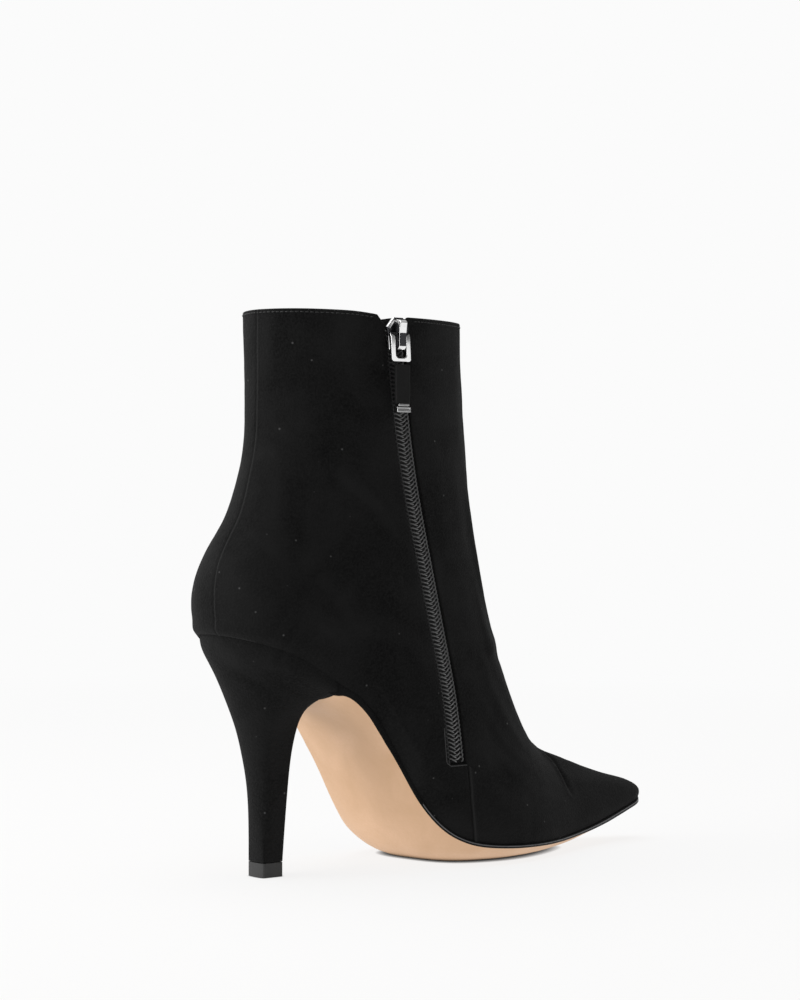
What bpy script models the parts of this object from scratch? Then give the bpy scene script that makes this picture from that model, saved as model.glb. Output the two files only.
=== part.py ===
"""A left ankle boot in black suede: pointed toe, stiletto heel and a zip on the inner side.

Frame: +X points to the toe, +Y to the outer side and +Z up. The origin is on the floor, at the
middle of the heel tip's bottom face. Sizes below are in millimetres and meshes are in metres.
"""

import math
from collections import namedtuple

import bmesh
import bpy
import numpy as np
from mathutils import Vector
from mathutils.bvhtree import BVHTree

MM = 0.001

# Driving sizes of the last and the boot
FOOT_LENGTH = 222.4
BALL_WIDTH = 75.0
HEEL_HEIGHT = 96.0
BOOT_HEIGHT = 222.6
TOE_SPRING = 17.6
SEAT_BACK = -25.6
TOE_TIP = SEAT_BACK + FOOT_LENGTH
WALL = 1.8
GAP = 0.3

# Fineness of the upper's skin
POINTS_AROUND = 72
RINGS = 24

# Sections of the last, from the feather line up to the collar. back_x, front_x and front_z are
# places in the middle plane, rise is the height of the back above the heel seat, and widths are
# per cent of half the ball width at five stations. The caps are the lengths over which the ends
# round off, and sag is how much of the arch's curve the section follows.
Section = namedtuple("Section", "name back_x rise front_x front_z "
                                "seat waist ball toe nose back_cap front_cap sag")
STATIONS = (0.0, 0.14, 0.30, 0.58, 0.80, 1.0)
COLLAR_RISE = BOOT_HEIGHT - HEEL_HEIGHT
SECTIONS = (
    Section("feather", SEAT_BACK, 0.0, TOE_TIP, TOE_SPRING, 72, 69, 98, 48, 9, 24, 6, 1.00),
    Section("wall", -27.5, 6.0, 197.6, 20.7, 77, 75, 101, 50, 10, 25, 7, 0.97),
    Section("toe top", -28.4, 12.5, 192.0, 25.0, 79, 79, 100, 49, 10, 26, 9, 0.90),
    Section("toe", -28.0, 19.5, 176.5, 29.5, 78, 81, 97, 49, 13, 27, 14, 0.77),
    Section("vamp", -26.0, 27.5, 158.5, 35.5, 75, 81, 94, 67, 25, 28, 28, 0.62),
    Section("crease", -21.4, 36.5, 140.5, 41.5, 72, 81, 90, 75, 46, 29, 32, 0.44),
    Section("low instep", -15.5, 46.0, 123.5, 61.0, 69, 81, 87, 74, 60, 31, 34, 0.30),
    Section("instep", -10.7, 58.0, 113.0, 86.0, 69, 81, 85, 75, 67, 34, 36, 0.18),
    Section("ankle", -7.1, 72.0, 104.5, 116.0, 70, 81, 84, 76, 71, 37, 38, 0.08),
    Section("shaft", -5.7, 94.0, 97.2, 165.0, 76, 83, 85, 78, 76, 42, 44, 0.02),
    Section("collar", -5.6, COLLAR_RISE, 93.8, 220.6, 88, 90, 91, 88, 88, 46, 48, 0.032),
)

# Over the forefoot, cross-sections round from the wall to the crest: where that sets in along the
# foot, how the rounding changes from instep to toe, and how full it is
VAMP_BLEND = (86.0, 116.0)
VAMP_POWERS = ((105.0, 140.0), (1.12, 1.6))
VAMP_ROUND = 1.72

# Sole line along the foot: height of the feather line at the inner side, how much lower it runs
# at the outer side, and the depth of the sole's black edge and of its rounded underside
SoleLine = namedtuple("SoleLine", "x height drop edge crown")
SOLE_LINE = (
    SoleLine(SEAT_BACK, HEEL_HEIGHT, 0.0, 3.0, 3.0),
    SoleLine(0.0, 86.0, 0.0, 3.0, 3.0),
    SoleLine(17.0, 76.5, 1.0, 3.8, 3.0),
    SoleLine(29.0, 69.0, 3.5, 2.6, 4.0),
    SoleLine(38.0, 59.5, 5.0, 2.2, 4.8),
    SoleLine(48.0, 43.0, 5.0, 2.0, 5.0),
    SoleLine(56.0, 29.5, 4.5, 2.0, 5.6),
    SoleLine(64.0, 19.5, 5.3, 2.0, 6.4),
    SoleLine(74.0, 12.3, 4.2, 2.0, 6.8),
    SoleLine(90.0, 8.4, 1.4, 2.0, 6.6),
    SoleLine(112.0, 7.0, 0.0, 2.0, 5.8),
    SoleLine(135.0, 7.4, 0.0, 2.0, 4.4),
    SoleLine(162.0, 10.2, 0.0, 1.9, 2.6),
    SoleLine(TOE_TIP, TOE_SPRING, 0.0, 1.7, 1.2),
)

# Middle line of the last in plan: it swings to the outer side at the ball and back at the toe
SWING = ((SEAT_BACK, 0.0), (20.0, 0.4), (60.0, 2.0), (110.0, 2.0), (150.0, 0.6), (TOE_TIP, -3.0))

# Leather sole and insole
SOLE_LIP = 0.7
CROWN_POWER = 3.0
SOLE_ACROSS = (1.0, 0.9, 0.7, 0.4, 0.0, -0.4, -0.7, -0.9, -1.0)
INSOLE_INSET = 2.3
INSOLE_THICK = 2.0
INSOLE_ENDS = (3.0, 12.0)

# Covered heel, a row for each slice from the top piece up: places of its back and its breast in
# the middle plane, half width, and the lengths over which back and breast round off
HeelSlice = namedtuple("HeelSlice", "back_x back_z front_x front_z half back_cap front_cap")
TIP_HEIGHT = 5.7
TIP_HALF = 5.25
BREAST = 16.5
HEEL_POINTS = 40
HEEL_SLICES = (
    HeelSlice(-TIP_HALF, TIP_HEIGHT + GAP, TIP_HALF, TIP_HEIGHT + GAP, TIP_HALF, 0.9, 0.9),
    HeelSlice(-6.5, 30.0, 7.3, 30.0, 6.6, 4.0, 2.2),
    HeelSlice(-8.6, 45.0, 8.6, 46.0, 8.0, 5.6, 2.8),
    HeelSlice(-11.5, 57.0, 10.1, 57.0, 10.2, 8.5, 3.4),
    HeelSlice(-15.3, 68.0, 11.4, 65.0, 13.9, 13.0, 4.0),
    HeelSlice(-20.2, 81.0, 13.6, 70.0, 19.5, 18.5, 4.0),
    HeelSlice(-24.4, 91.0, 15.6, 73.6, 25.0, 23.5, 3.5),
)

# Zip on the inner side: its path from the lower end to the collar, the slot and what fills it.
# Depths count inwards from the boot's outer skin.
ZIP_PATH = ((42.0, 69.9), (68.0, 68.8), (95.0, 63.5), (122.0, 57.0), (148.0, 50.5),
            (180.0, 44.2), (205.0, 40.4), (222.0, 38.0))
ZIP_TOP = 217.5
ZIP_STATIONS = 42
SLOT_LOW = 46.9
SLOT_HALF = 4.6
SLOT_MOUTH_HALF = 6.8
SLOT_MOUTH_DEPTH = 14.0
SLOT_REACH = (-80.0, -10.0)
SLOT_END_STEPS = 8
TAPE_ACROSS = (-8.5, -2.9, 2.9, 8.5)
TAPE_DEPTHS = (2.2, 2.9)
TAPE_END = 38.0
COIL_ACROSS = (-2.9, -1.45, 0.0, 1.45, 2.9)
COIL_DEPTHS = (0.6, 1.9)
COIL_END = 44.2
SLOPE_STEP = 4.0
RAY_START = -200.0

# Zip slider and its hanging puller, on the zip near the collar
SLIDER_Z = 213.3
PLATE_OUTLINE = ((-4.0, -6.4), (4.0, -6.4), (4.6, -1.0), (5.4, 2.6), (2.4, 6.4),
                 (-2.4, 6.4), (-5.4, 2.6), (-4.6, -1.0))
PLATE_HEIGHTS = (0.8, 2.0)
BRIDGE_WIDTH = 3.4
BRIDGE_PROFILE = ((-5.8, 1.6), (-5.4, 4.2), (-3.8, 5.5), (3.2, 5.5), (5.2, 4.4), (5.8, 1.6),
                  (4.6, 1.6), (4.2, 3.6), (2.8, 4.5), (-3.4, 4.5), (-4.3, 3.6), (-4.6, 1.6))
PIVOT_HEIGHT = 3.3
RING_WIDTH = 10.4
RING_DROP = 10.8
RING_BAR = (0.9, 0.75)
RING_CORNER = 2.6
RING_CORNER_STEPS = 4
TAB_WIDTH = 7.2
TAB_DROP = 15.2
TAB_HALF_THICK = 0.9
TAB_ASIDE = 0.8
END_WIDTH = 7.4
END_DROP = 3.2
END_HALF_THICK = 1.2
EDGE_ROUND = 0.4

# Colour, roughness and metallic value of each material
Finish = namedtuple("Finish", "colour roughness metallic")
FINISHES = {
    "suede": Finish((0.008, 0.008, 0.009), 0.95, 0.0),
    "sole_leather": Finish((0.58, 0.37, 0.22), 0.55, 0.0),
    "insole_leather": Finish((0.50, 0.36, 0.25), 0.60, 0.0),
    "top_piece": Finish((0.03, 0.031, 0.033), 0.50, 0.0),
    "zip_tape": Finish((0.008, 0.008, 0.009), 0.80, 0.0),
    "zip_coil": Finish((0.015, 0.015, 0.016), 0.35, 0.0),
    "silver_metal": Finish((0.70, 0.70, 0.72), 0.15, 1.0),
    "tab_leather": Finish((0.012, 0.012, 0.013), 0.55, 0.0),
}


def clear_scene():
    """Remove what the scene holds."""
    for item in list(bpy.data.objects):
        bpy.data.objects.remove(item, do_unlink=True)


def material(name):
    """One Principled material, made when it is first asked for."""
    found = bpy.data.materials.get(name)
    if found:
        return found
    finish = FINISHES[name]
    made = bpy.data.materials.new(name)
    made.use_nodes = True
    shader = made.node_tree.nodes["Principled BSDF"]
    shader.inputs["Base Color"].default_value = (*finish.colour, 1.0)
    shader.inputs["Roughness"].default_value = finish.roughness
    shader.inputs["Metallic"].default_value = finish.metallic
    return made


def add_object(name, points, faces, finish, parent, closed=True):
    """Make one mesh object from points in millimetres, with its faces turned outwards."""
    mesh = bpy.data.meshes.new(name)
    mesh.from_pydata([Vector(point) * MM for point in points], [], faces)
    if closed:
        work = bmesh.new()
        work.from_mesh(mesh)
        bmesh.ops.recalc_face_normals(work, faces=work.faces[:])
        work.to_mesh(mesh)
        work.free()
    mesh.shade_smooth()
    mesh.set_sharp_from_angle(angle=math.radians(40))
    mesh.materials.append(material(finish))
    made = bpy.data.objects.new(name, mesh)
    bpy.context.scene.collection.objects.link(made)
    made.parent = parent
    return made


def add_empty(name, place, parent=None):
    """Make an empty that carries other objects."""
    made = bpy.data.objects.new(name, None)
    made.location = Vector(place) * MM
    made.parent = parent
    bpy.context.scene.collection.objects.link(made)
    return made


def spline(knots, values, at):
    """Natural cubic spline through values at knots, read at one place or many."""
    knots = np.asarray(knots, float)
    values = np.asarray(values, float)
    flat = values.reshape(len(knots), -1)
    step = np.diff(knots)
    slope = np.diff(flat, axis=0) / step[:, None]
    system = np.eye(len(knots))
    right = np.zeros_like(flat)
    for i in range(1, len(knots) - 1):
        system[i, i - 1:i + 2] = step[i - 1], 2 * (step[i - 1] + step[i]), step[i]
        right[i] = 6 * (slope[i] - slope[i - 1])
    bend = np.linalg.solve(system, right)
    at = np.asarray(at, float)
    i = np.clip(np.searchsorted(knots, at.ravel()) - 1, 0, len(step) - 1)
    width = step[i][:, None]
    ahead = (at.ravel() - knots[i])[:, None] / width
    behind = 1 - ahead
    curve = (behind ** 3 - behind) * bend[i] + (ahead ** 3 - ahead) * bend[i + 1]
    found = behind * flat[i] + ahead * flat[i + 1] + curve * width ** 2 / 6
    return found.reshape(at.shape + values.shape[1:])


def round_end(distance, reach):
    """Elliptical rounding of a width within reach of an end."""
    return np.sqrt(1 - np.clip(1 - distance / reach, 0, 1) ** 2)


def middle_line(x):
    """Sideways place of the last's middle line."""
    return spline(*zip(*SWING), x)


def sole_value(column, x):
    """One column of the sole line at x."""
    return spline([row.x for row in SOLE_LINE], [getattr(row, column) for row in SOLE_LINE], x)


def feather_z(x, side):
    """Height of the feather line, for side from -1 on the inner edge to 1 on the outer one."""
    return sole_value("height", x) - sole_value("drop", x) * (1 + side) / 2


def half_width(section, x):
    """Half the width of a section: a spline through its stations, rounded at both ends."""
    share = (x - section.back_x) / (section.front_x - section.back_x)
    widths = (section.seat, section.seat, section.waist, section.ball, section.toe, section.nose)
    base = spline(STATIONS, widths, share) * BALL_WIDTH / 200
    back = round_end(x - section.back_x, section.back_cap)
    return base * back * round_end(section.front_x - x, section.front_cap)


FEATHER, WALL_TOP = SECTIONS[:2]
CREST = sorted((section.front_x, section.front_z) for section in SECTIONS[1:])


def turns(count):
    """Share of the way from back to front, and side, for points around a closed loop."""
    angle = np.arange(count) * 2 * np.pi / count
    return (1 - np.cos(angle)) / 2, np.sign(np.round(np.sin(angle), 9))


def section_z(section, x, side):
    """Height of a section: a straight line from back to front, bent with the arch of the foot."""
    share = (x - section.back_x) / (section.front_x - section.back_x)
    sole_x = FEATHER.back_x + share * FOOT_LENGTH
    arch = feather_z(sole_x, side) - (HEEL_HEIGHT + share * (TOE_SPRING - HEEL_HEIGHT))
    back_z = HEEL_HEIGHT + section.rise
    return back_z + share * (section.front_z - back_z) + section.sag * arch


def vamp_half(x, z, side):
    """Half width over the forefoot, which rounds from the wall up to the crest of the foot."""
    crest_x, crest_z = zip(*CREST)
    crest = spline(crest_x, crest_z, np.clip(x, crest_x[0], crest_x[-1]))
    foot = section_z(WALL_TOP, x, side)
    climb = np.clip((z - foot) / (crest - foot), 0, 1)
    power = np.interp(x, *VAMP_POWERS)
    return half_width(WALL_TOP, x) * (1 - climb ** power) ** (1 / VAMP_ROUND)


def section_loop(section):
    """The points of one section of the last, from the back along the outer side and round."""
    share, side = turns(POINTS_AROUND)
    x = section.back_x + share * (section.front_x - section.back_x)
    z = section_z(section, x, side)
    half = half_width(section, x)
    if section not in (FEATHER, WALL_TOP):
        start, end = VAMP_BLEND
        blend = np.clip((x - start) / (end - start), 0, 1)
        half += blend ** 2 * (3 - 2 * blend) * (vamp_half(x, z, side) - half)
    return np.stack([x, middle_line(x) + side * half, z], axis=1)


def upper_rings():
    """Rings of the upper's outer skin, from the feather line to the collar."""
    loops = np.stack([section_loop(section) for section in SECTIONS])
    spacing = np.linalg.norm(np.diff(loops, axis=0), axis=2).mean(axis=1)
    knots = np.concatenate([[0.0], np.cumsum(spacing)])
    rows = np.linspace(0, len(SECTIONS) - 1, RINGS)
    return spline(knots, loops, np.interp(rows, range(len(SECTIONS)), knots))


def ring_faces(rings, around):
    """Quads between closed rings that run up the shape, facing out."""
    faces = []
    for ring in range(rings - 1):
        for point in range(around):
            after = (point + 1) % around
            low, high = ring * around, (ring + 1) * around
            faces.append((low + point, high + point, high + after, low + after))
    return faces


def end_strips(first, around):
    """Faces across a ring whose points mirror each other, end to end."""
    faces = [(first, first + 1, first + around - 1)]
    for point in range(1, around // 2 - 1):
        far = around - point
        faces.append((first + point, first + point + 1, first + far - 1, first + far))
    middle = around // 2
    faces.append((first + middle - 1, first + middle, first + middle + 1))
    return faces


def add_loft(name, loops, finish, parent, strips=False):
    """A closed solid through loops of equally many points."""
    around = len(loops[0])
    last = (len(loops) - 1) * around
    faces = ring_faces(len(loops), around)
    if strips:
        faces += end_strips(0, around) + end_strips(last, around)
    else:
        faces += [tuple(range(around)), tuple(range(last, last + around))]
    points = [point for loop in loops for point in loop]
    return add_object(name, points, faces, finish, parent)


def add_prism(name, outline, ends, finish, parent):
    """An outline of (x, z) points, pulled along Y between two ends."""
    loops = [[(x, y, z) for x, z in outline] for y in ends]
    return add_loft(name, loops, finish, parent)


def cut(target, tool, operation):
    """Keep a Boolean on the target and put its tool out of the model."""
    step = target.modifiers.new(operation.lower(), "BOOLEAN")
    step.solver = "EXACT"
    step.operation = operation
    step.object = tool
    tool.hide_render = True
    tool.display_type = "WIRE"


def add_edge_round(item, width):
    """Round an object's sharp edges."""
    step = item.modifiers.new("edge_round", "BEVEL")
    step.width = width * MM
    step.segments = 2
    step.limit_method = "ANGLE"
    step.angle_limit = math.radians(35)


class Skin:
    """The upper's outer skin, as a surface that other pieces are laid on."""

    def __init__(self):
        self.rings = upper_rings()
        self.points = self.rings.reshape(-1, 3)
        self.faces = ring_faces(RINGS, POINTS_AROUND)
        self.tree = BVHTree.FromPolygons([Vector(p) for p in self.points], self.faces)

    def inner_side_y(self, x, z):
        """Sideways place of the skin's inner side."""
        hit = self.tree.ray_cast(Vector((x, RAY_START, z)), Vector((0.0, 1.0, 0.0)))[0]
        return hit.y

    def slopes(self, x, z):
        """How the inner side leans along X and along Z."""
        low = min(z, BOOT_HEIGHT - 4 * SLOPE_STEP)
        along = self.inner_side_y(x + SLOPE_STEP, low) - self.inner_side_y(x - SLOPE_STEP, low)
        up = self.inner_side_y(x, low + SLOPE_STEP) - self.inner_side_y(x, low - SLOPE_STEP)
        return along / (2 * SLOPE_STEP), up / (2 * SLOPE_STEP)

    def at_depth(self, x, z, depth):
        """A point below the inner side's skin, along its normal."""
        along, up = self.slopes(x, z)
        inward = Vector((-along, 1.0, -up)).normalized()
        return Vector((x, self.inner_side_y(x, z), z)) + inward * depth


def zip_x(z):
    """The zip's place along the boot at a height."""
    heights, places = zip(*ZIP_PATH)
    return spline(heights, places, z)


def zip_offset(z, aside):
    """A point beside the zip's path in side view, aside towards the toe."""
    lean = (zip_x(z + 1.0) - zip_x(z - 1.0)) / 2
    length = math.hypot(1.0, lean)
    return float(zip_x(z) + aside / length), float(z - aside * lean / length)


def slot_half(z):
    """Half width of the zip slot, which opens out below the collar."""
    share = (z - (BOOT_HEIGHT - SLOT_MOUTH_DEPTH)) / SLOT_MOUTH_DEPTH
    return SLOT_HALF + (SLOT_MOUTH_HALF - SLOT_HALF) * max(0.0, share) ** 2


def slot_outline():
    """Side view of the zip slot, round at its lower end."""
    heights = np.linspace(SLOT_LOW, BOOT_HEIGHT + SLOT_MOUTH_DEPTH / 2, ZIP_STATIONS)
    toe_side = [zip_offset(z, slot_half(z)) for z in heights]
    heel_side = [zip_offset(z, -slot_half(z)) for z in reversed(heights)]
    end_x, end_z = zip_offset(SLOT_LOW, 0.0)
    angles = np.linspace(np.pi, 2 * np.pi, SLOT_END_STEPS + 1)[1:-1]
    end = [(end_x + SLOT_HALF * math.cos(a), end_z + SLOT_HALF * math.sin(a)) for a in angles]
    return toe_side + heel_side + end


def add_upper(skin, parent):
    """The hollow upper, open at the collar and underneath, with the slot of its zip."""
    upper = add_object("upper", skin.points, skin.faces, "suede", parent, closed=False)
    wall = upper.modifiers.new("wall", "SOLIDIFY")
    wall.thickness = WALL * MM
    wall.offset = -1.0
    wall.use_even_offset = True
    tool = add_prism("slot_tool", slot_outline(), SLOT_REACH, "suede", parent)
    cut(upper, tool, "DIFFERENCE")


def sole_section(x):
    """One cross-section of the leather sole: flat top, black edge, rounded underside."""
    half = half_width(FEATHER, x) + SOLE_LIP
    middle = middle_line(x)
    edge = sole_value("edge", x)
    crown = sole_value("crown", x)
    loop = [(x, middle + side * half, feather_z(x, side) - GAP) for side in (-1.0, 0.0, 1.0)]
    for side in SOLE_ACROSS:
        under = feather_z(x, side) - GAP - edge - crown * (1 - abs(side) ** CROWN_POWER)
        loop.append((x, middle + side * half, max(0.0, under)))
    return loop


def foot_stations(start, end):
    """Places along the foot, at the points of the feather line, between two ends."""
    share = turns(POINTS_AROUND)[0][:POINTS_AROUND // 2]
    places = FEATHER.back_x + share * FOOT_LENGTH
    return [start, *places[(places > start + 1) & (places < end)], end]


def add_outsole(parent):
    """The leather sole, from the heel's breast to the toe tip."""
    places = foot_stations(BREAST + GAP, TOE_TIP + SOLE_LIP / 2)
    add_loft("outsole", [sole_section(x) for x in places], "sole_leather", parent)


def insole_section(x):
    """One cross-section of the insole, inside the upper's wall."""
    lean = half_width(FEATHER, x + 0.5) - half_width(FEATHER, x - 0.5)
    half = half_width(FEATHER, x) - INSOLE_INSET * math.hypot(1.0, lean)
    middle = middle_line(x)
    lower = [(x, middle + side * half, feather_z(x, side) + GAP) for side in (-1.0, 0.0, 1.0)]
    return lower + [(x, y, z + INSOLE_THICK) for x, y, z in reversed(lower)]


def add_insole(parent):
    """The insole, from heel seat to toe."""
    places = foot_stations(SEAT_BACK + INSOLE_ENDS[0], TOE_TIP - INSOLE_ENDS[1])
    add_loft("insole", [insole_section(x) for x in places], "insole_leather", parent)


def heel_loop(part):
    """One slice of the heel."""
    share, side = turns(HEEL_POINTS)
    x = part.back_x + share * (part.front_x - part.back_x)
    rounding = round_end(x - part.back_x, part.back_cap) * round_end(part.front_x - x, part.front_cap)
    z = part.back_z + share * (part.front_z - part.back_z)
    return np.stack([x, side * part.half * rounding, z], axis=1)


def seat_loop():
    """The heel's top, which carries the seat of the upper."""
    share, side = turns(HEEL_POINTS)
    x = SEAT_BACK + share * (BREAST - SEAT_BACK)
    corner = HEEL_SLICES[-1].front_cap
    half = half_width(FEATHER, x) * round_end(BREAST - x, corner)
    return np.stack([x, side * half, feather_z(x, side) - GAP], axis=1)


def add_heel(parent):
    """The covered stiletto heel and its top piece."""
    loops = [heel_loop(part) for part in HEEL_SLICES] + [seat_loop()]
    knots = np.arange(len(loops))
    rows = np.linspace(0, len(loops) - 1, 2 * len(loops) - 1)
    add_loft("heel", spline(knots, np.stack(loops), rows), "suede", parent, strips=True)
    foot = heel_loop(HEEL_SLICES[0])
    tip_loops = [np.stack([foot[:, 0], foot[:, 1], np.full(HEEL_POINTS, z)], axis=1)
                 for z in (0.0, TIP_HEIGHT)]
    add_loft("heel_tip", tip_loops, "top_piece", parent, strips=True)


def ribbon_loops(skin, across, depths, low, high):
    """Cross-sections of a band that runs along the zip at two depths."""
    loops = []
    for z in np.linspace(low, high, ZIP_STATIONS):
        places = [zip_offset(z, aside) for aside in across]
        outer = [skin.at_depth(x, height, depths[0]) for x, height in places]
        inner = [skin.at_depth(x, height, depths[1]) for x, height in places]
        loops.append(outer + inner[::-1])
    return loops


def add_zip(skin, parent):
    """The zip's tape behind the wall and the band of its coils in the slot."""
    tape = ribbon_loops(skin, TAPE_ACROSS, TAPE_DEPTHS, TAPE_END, ZIP_TOP)
    add_loft("zip_tape", tape, "zip_tape", parent)
    coil = ribbon_loops(skin, COIL_ACROSS, COIL_DEPTHS, COIL_END, ZIP_TOP)
    add_loft("zip_coil", coil, "zip_coil", parent)


def slider_frame(skin):
    """The slider's place on the skin, and how far the skin leans there."""
    x = float(zip_x(SLIDER_Z))
    place = Vector((x, skin.inner_side_y(x, SLIDER_Z), SLIDER_Z))
    lean = math.atan(skin.slopes(x, SLIDER_Z)[1])
    return place, lean


def off_skin(place, lean, aside, up, height):
    """A point given across the zip, up along it and above the skin."""
    return (place.x + aside,
            place.y + up * math.sin(lean) - height * math.cos(lean),
            place.z + up * math.cos(lean) + height * math.sin(lean))


def add_slider(skin, parent):
    """The slider: a shield-shaped plate over the coils and the bridge that holds the puller."""
    place, lean = slider_frame(skin)
    plate_loops = [[off_skin(place, lean, aside, up, height) for aside, up in PLATE_OUTLINE]
                   for height in PLATE_HEIGHTS]
    slider = add_loft("zip_slider", plate_loops, "silver_metal", parent)
    add_edge_round(slider, EDGE_ROUND)
    sides = (-BRIDGE_WIDTH / 2, BRIDGE_WIDTH / 2)
    bridge_loops = [[off_skin(place, lean, aside, up, height) for up, height in BRIDGE_PROFILE]
                    for aside in sides]
    cut(slider, add_loft("bridge_tool", bridge_loops, "silver_metal", parent), "UNION")


def rounded_frame(width, height, corner, steps):
    """Middle line of a rounded rectangle that hangs from its top bar, as (aside, up, outward)."""
    line = []
    half = width / 2 - corner
    centres = ((half, -corner, 0), (-half, -corner, 1), (-half, corner - height, 2),
               (half, corner - height, 3))
    for aside, up, quarter in centres:
        for step in range(steps + 1):
            angle = (quarter + step / steps) * math.pi / 2
            outward = (math.cos(angle), math.sin(angle))
            line.append((aside + corner * outward[0], up + corner * outward[1], outward))
    return line


def add_ring(parent):
    """The puller's wire frame, whose top bar turns under the slider's bridge."""
    bar_half, bar_thick = RING_BAR
    line = rounded_frame(RING_WIDTH - 2 * bar_half, RING_DROP, RING_CORNER, RING_CORNER_STEPS)
    profile = [(bar_half * math.cos(k * math.pi / 4), bar_thick * math.sin(k * math.pi / 4))
               for k in range(8)]
    points = [(aside + out * outward[0], -thick, up + out * outward[1])
              for aside, up, outward in line for out, thick in profile]
    count = len(profile)
    faces = []
    for k in range(len(line)):
        after = (k + 1) % len(line)
        for j in range(count):
            beside = (j + 1) % count
            faces.append((k * count + j, after * count + j, after * count + beside, k * count + beside))
    add_object("pull_ring", points, faces, "silver_metal", parent)


def add_hanging_block(name, width, top, drop, half_thick, finish, parent):
    """A flat block that hangs below the puller's pivot."""
    left, right = TAB_ASIDE - width / 2, TAB_ASIDE + width / 2
    outline = [(left, top - drop), (right, top - drop), (right, top), (left, top)]
    block = add_prism(name, outline, (-half_thick, half_thick), finish, parent)
    add_edge_round(block, EDGE_ROUND)


def add_puller(skin, parent):
    """The hanging puller: wire frame, leather tab and its metal end, on the pivot's axis."""
    place, lean = slider_frame(skin)
    pivot = add_empty("pull_pivot", off_skin(place, lean, 0.0, 0.0, PIVOT_HEIGHT), parent)
    add_ring(pivot)
    tab_top = -RING_DROP - RING_BAR[0] - GAP
    add_hanging_block("pull_tab", TAB_WIDTH, tab_top, TAB_DROP, TAB_HALF_THICK, "tab_leather", pivot)
    end_top = tab_top - TAB_DROP - GAP
    add_hanging_block("pull_end", END_WIDTH, end_top, END_DROP, END_HALF_THICK, "silver_metal", pivot)


def main():
    """Build the boot."""
    clear_scene()
    boot = add_empty("boot", (0.0, 0.0, 0.0))
    skin = Skin()
    add_upper(skin, boot)
    add_outsole(boot)
    add_insole(boot)
    add_heel(boot)
    add_zip(skin, boot)
    add_slider(skin, boot)
    add_puller(skin, boot)


main()
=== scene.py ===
"""Looks of a left ankle boot in black suede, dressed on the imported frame.

Sizes are in millimetres, in the boot's own frame: +X to the toe, +Y to the outer side, +Z up.
"""

import math
from collections import namedtuple

import bmesh
import bpy
import numpy as np
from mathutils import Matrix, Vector, noise
from mathutils.bvhtree import BVHTree


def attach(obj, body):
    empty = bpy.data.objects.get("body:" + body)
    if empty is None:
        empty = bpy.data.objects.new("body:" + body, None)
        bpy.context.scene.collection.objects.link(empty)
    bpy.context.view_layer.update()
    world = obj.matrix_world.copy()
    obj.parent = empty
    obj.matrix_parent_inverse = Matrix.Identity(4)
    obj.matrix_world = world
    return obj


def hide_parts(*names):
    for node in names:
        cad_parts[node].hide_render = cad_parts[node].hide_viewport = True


MM = 0.001

# Driving sizes of the last and the boot
FOOT_LENGTH = 222.4
BALL_WIDTH = 75.0
HEEL_HEIGHT = 96.0
BOOT_HEIGHT = 222.6
TOE_SPRING = 17.6
SEAT_BACK = -25.6
TOE_TIP = SEAT_BACK + FOOT_LENGTH
GAP = 0.3
TOUCH = 0.2

# Sections of the last, from the feather line up to the collar. back_x, front_x and front_z are
# places in the middle plane, rise is the height of the back above the heel seat, and widths are
# per cent of half the ball width at five stations. The caps are the lengths over which the ends
# round off, and sag is how much of the arch's curve the section follows.
Section = namedtuple("Section", "name back_x rise front_x front_z "
                                "seat waist ball toe nose back_cap front_cap sag")
STATIONS = (0.0, 0.14, 0.30, 0.58, 0.80, 1.0)
COLLAR_RISE = BOOT_HEIGHT - HEEL_HEIGHT
SECTIONS = (
    Section("feather", SEAT_BACK, 0.0, TOE_TIP, TOE_SPRING, 72, 69, 98, 48, 9, 24, 6, 1.00),
    Section("wall", -27.5, 6.0, 197.6, 20.7, 77, 75, 101, 50, 10, 25, 7, 0.97),
    Section("toe top", -28.4, 12.5, 192.0, 25.0, 79, 79, 100, 49, 10, 26, 9, 0.90),
    Section("toe", -28.0, 19.5, 176.5, 29.5, 78, 81, 97, 49, 13, 27, 14, 0.77),
    Section("vamp", -26.0, 27.5, 158.5, 35.5, 75, 81, 94, 67, 25, 28, 28, 0.62),
    Section("crease", -21.4, 36.5, 140.5, 41.5, 72, 81, 90, 75, 46, 29, 32, 0.44),
    Section("low instep", -15.5, 46.0, 123.5, 61.0, 69, 81, 87, 74, 60, 31, 34, 0.30),
    Section("instep", -10.7, 58.0, 113.0, 86.0, 69, 81, 85, 75, 67, 34, 36, 0.18),
    Section("ankle", -7.1, 72.0, 104.5, 116.0, 70, 81, 84, 76, 71, 37, 38, 0.08),
    Section("shaft", -5.7, 94.0, 97.2, 165.0, 76, 83, 85, 78, 76, 42, 44, 0.02),
    Section("collar", -5.6, COLLAR_RISE, 93.8, 220.6, 88, 90, 91, 88, 88, 46, 48, 0.032),
)

# Over the forefoot, cross-sections round from the wall to the crest: where that sets in along the
# foot, how the rounding changes from instep to toe, and how full it is
VAMP_BLEND = (86.0, 116.0)
VAMP_POWERS = ((105.0, 140.0), (1.12, 1.6))
VAMP_ROUND = 1.72

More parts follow.
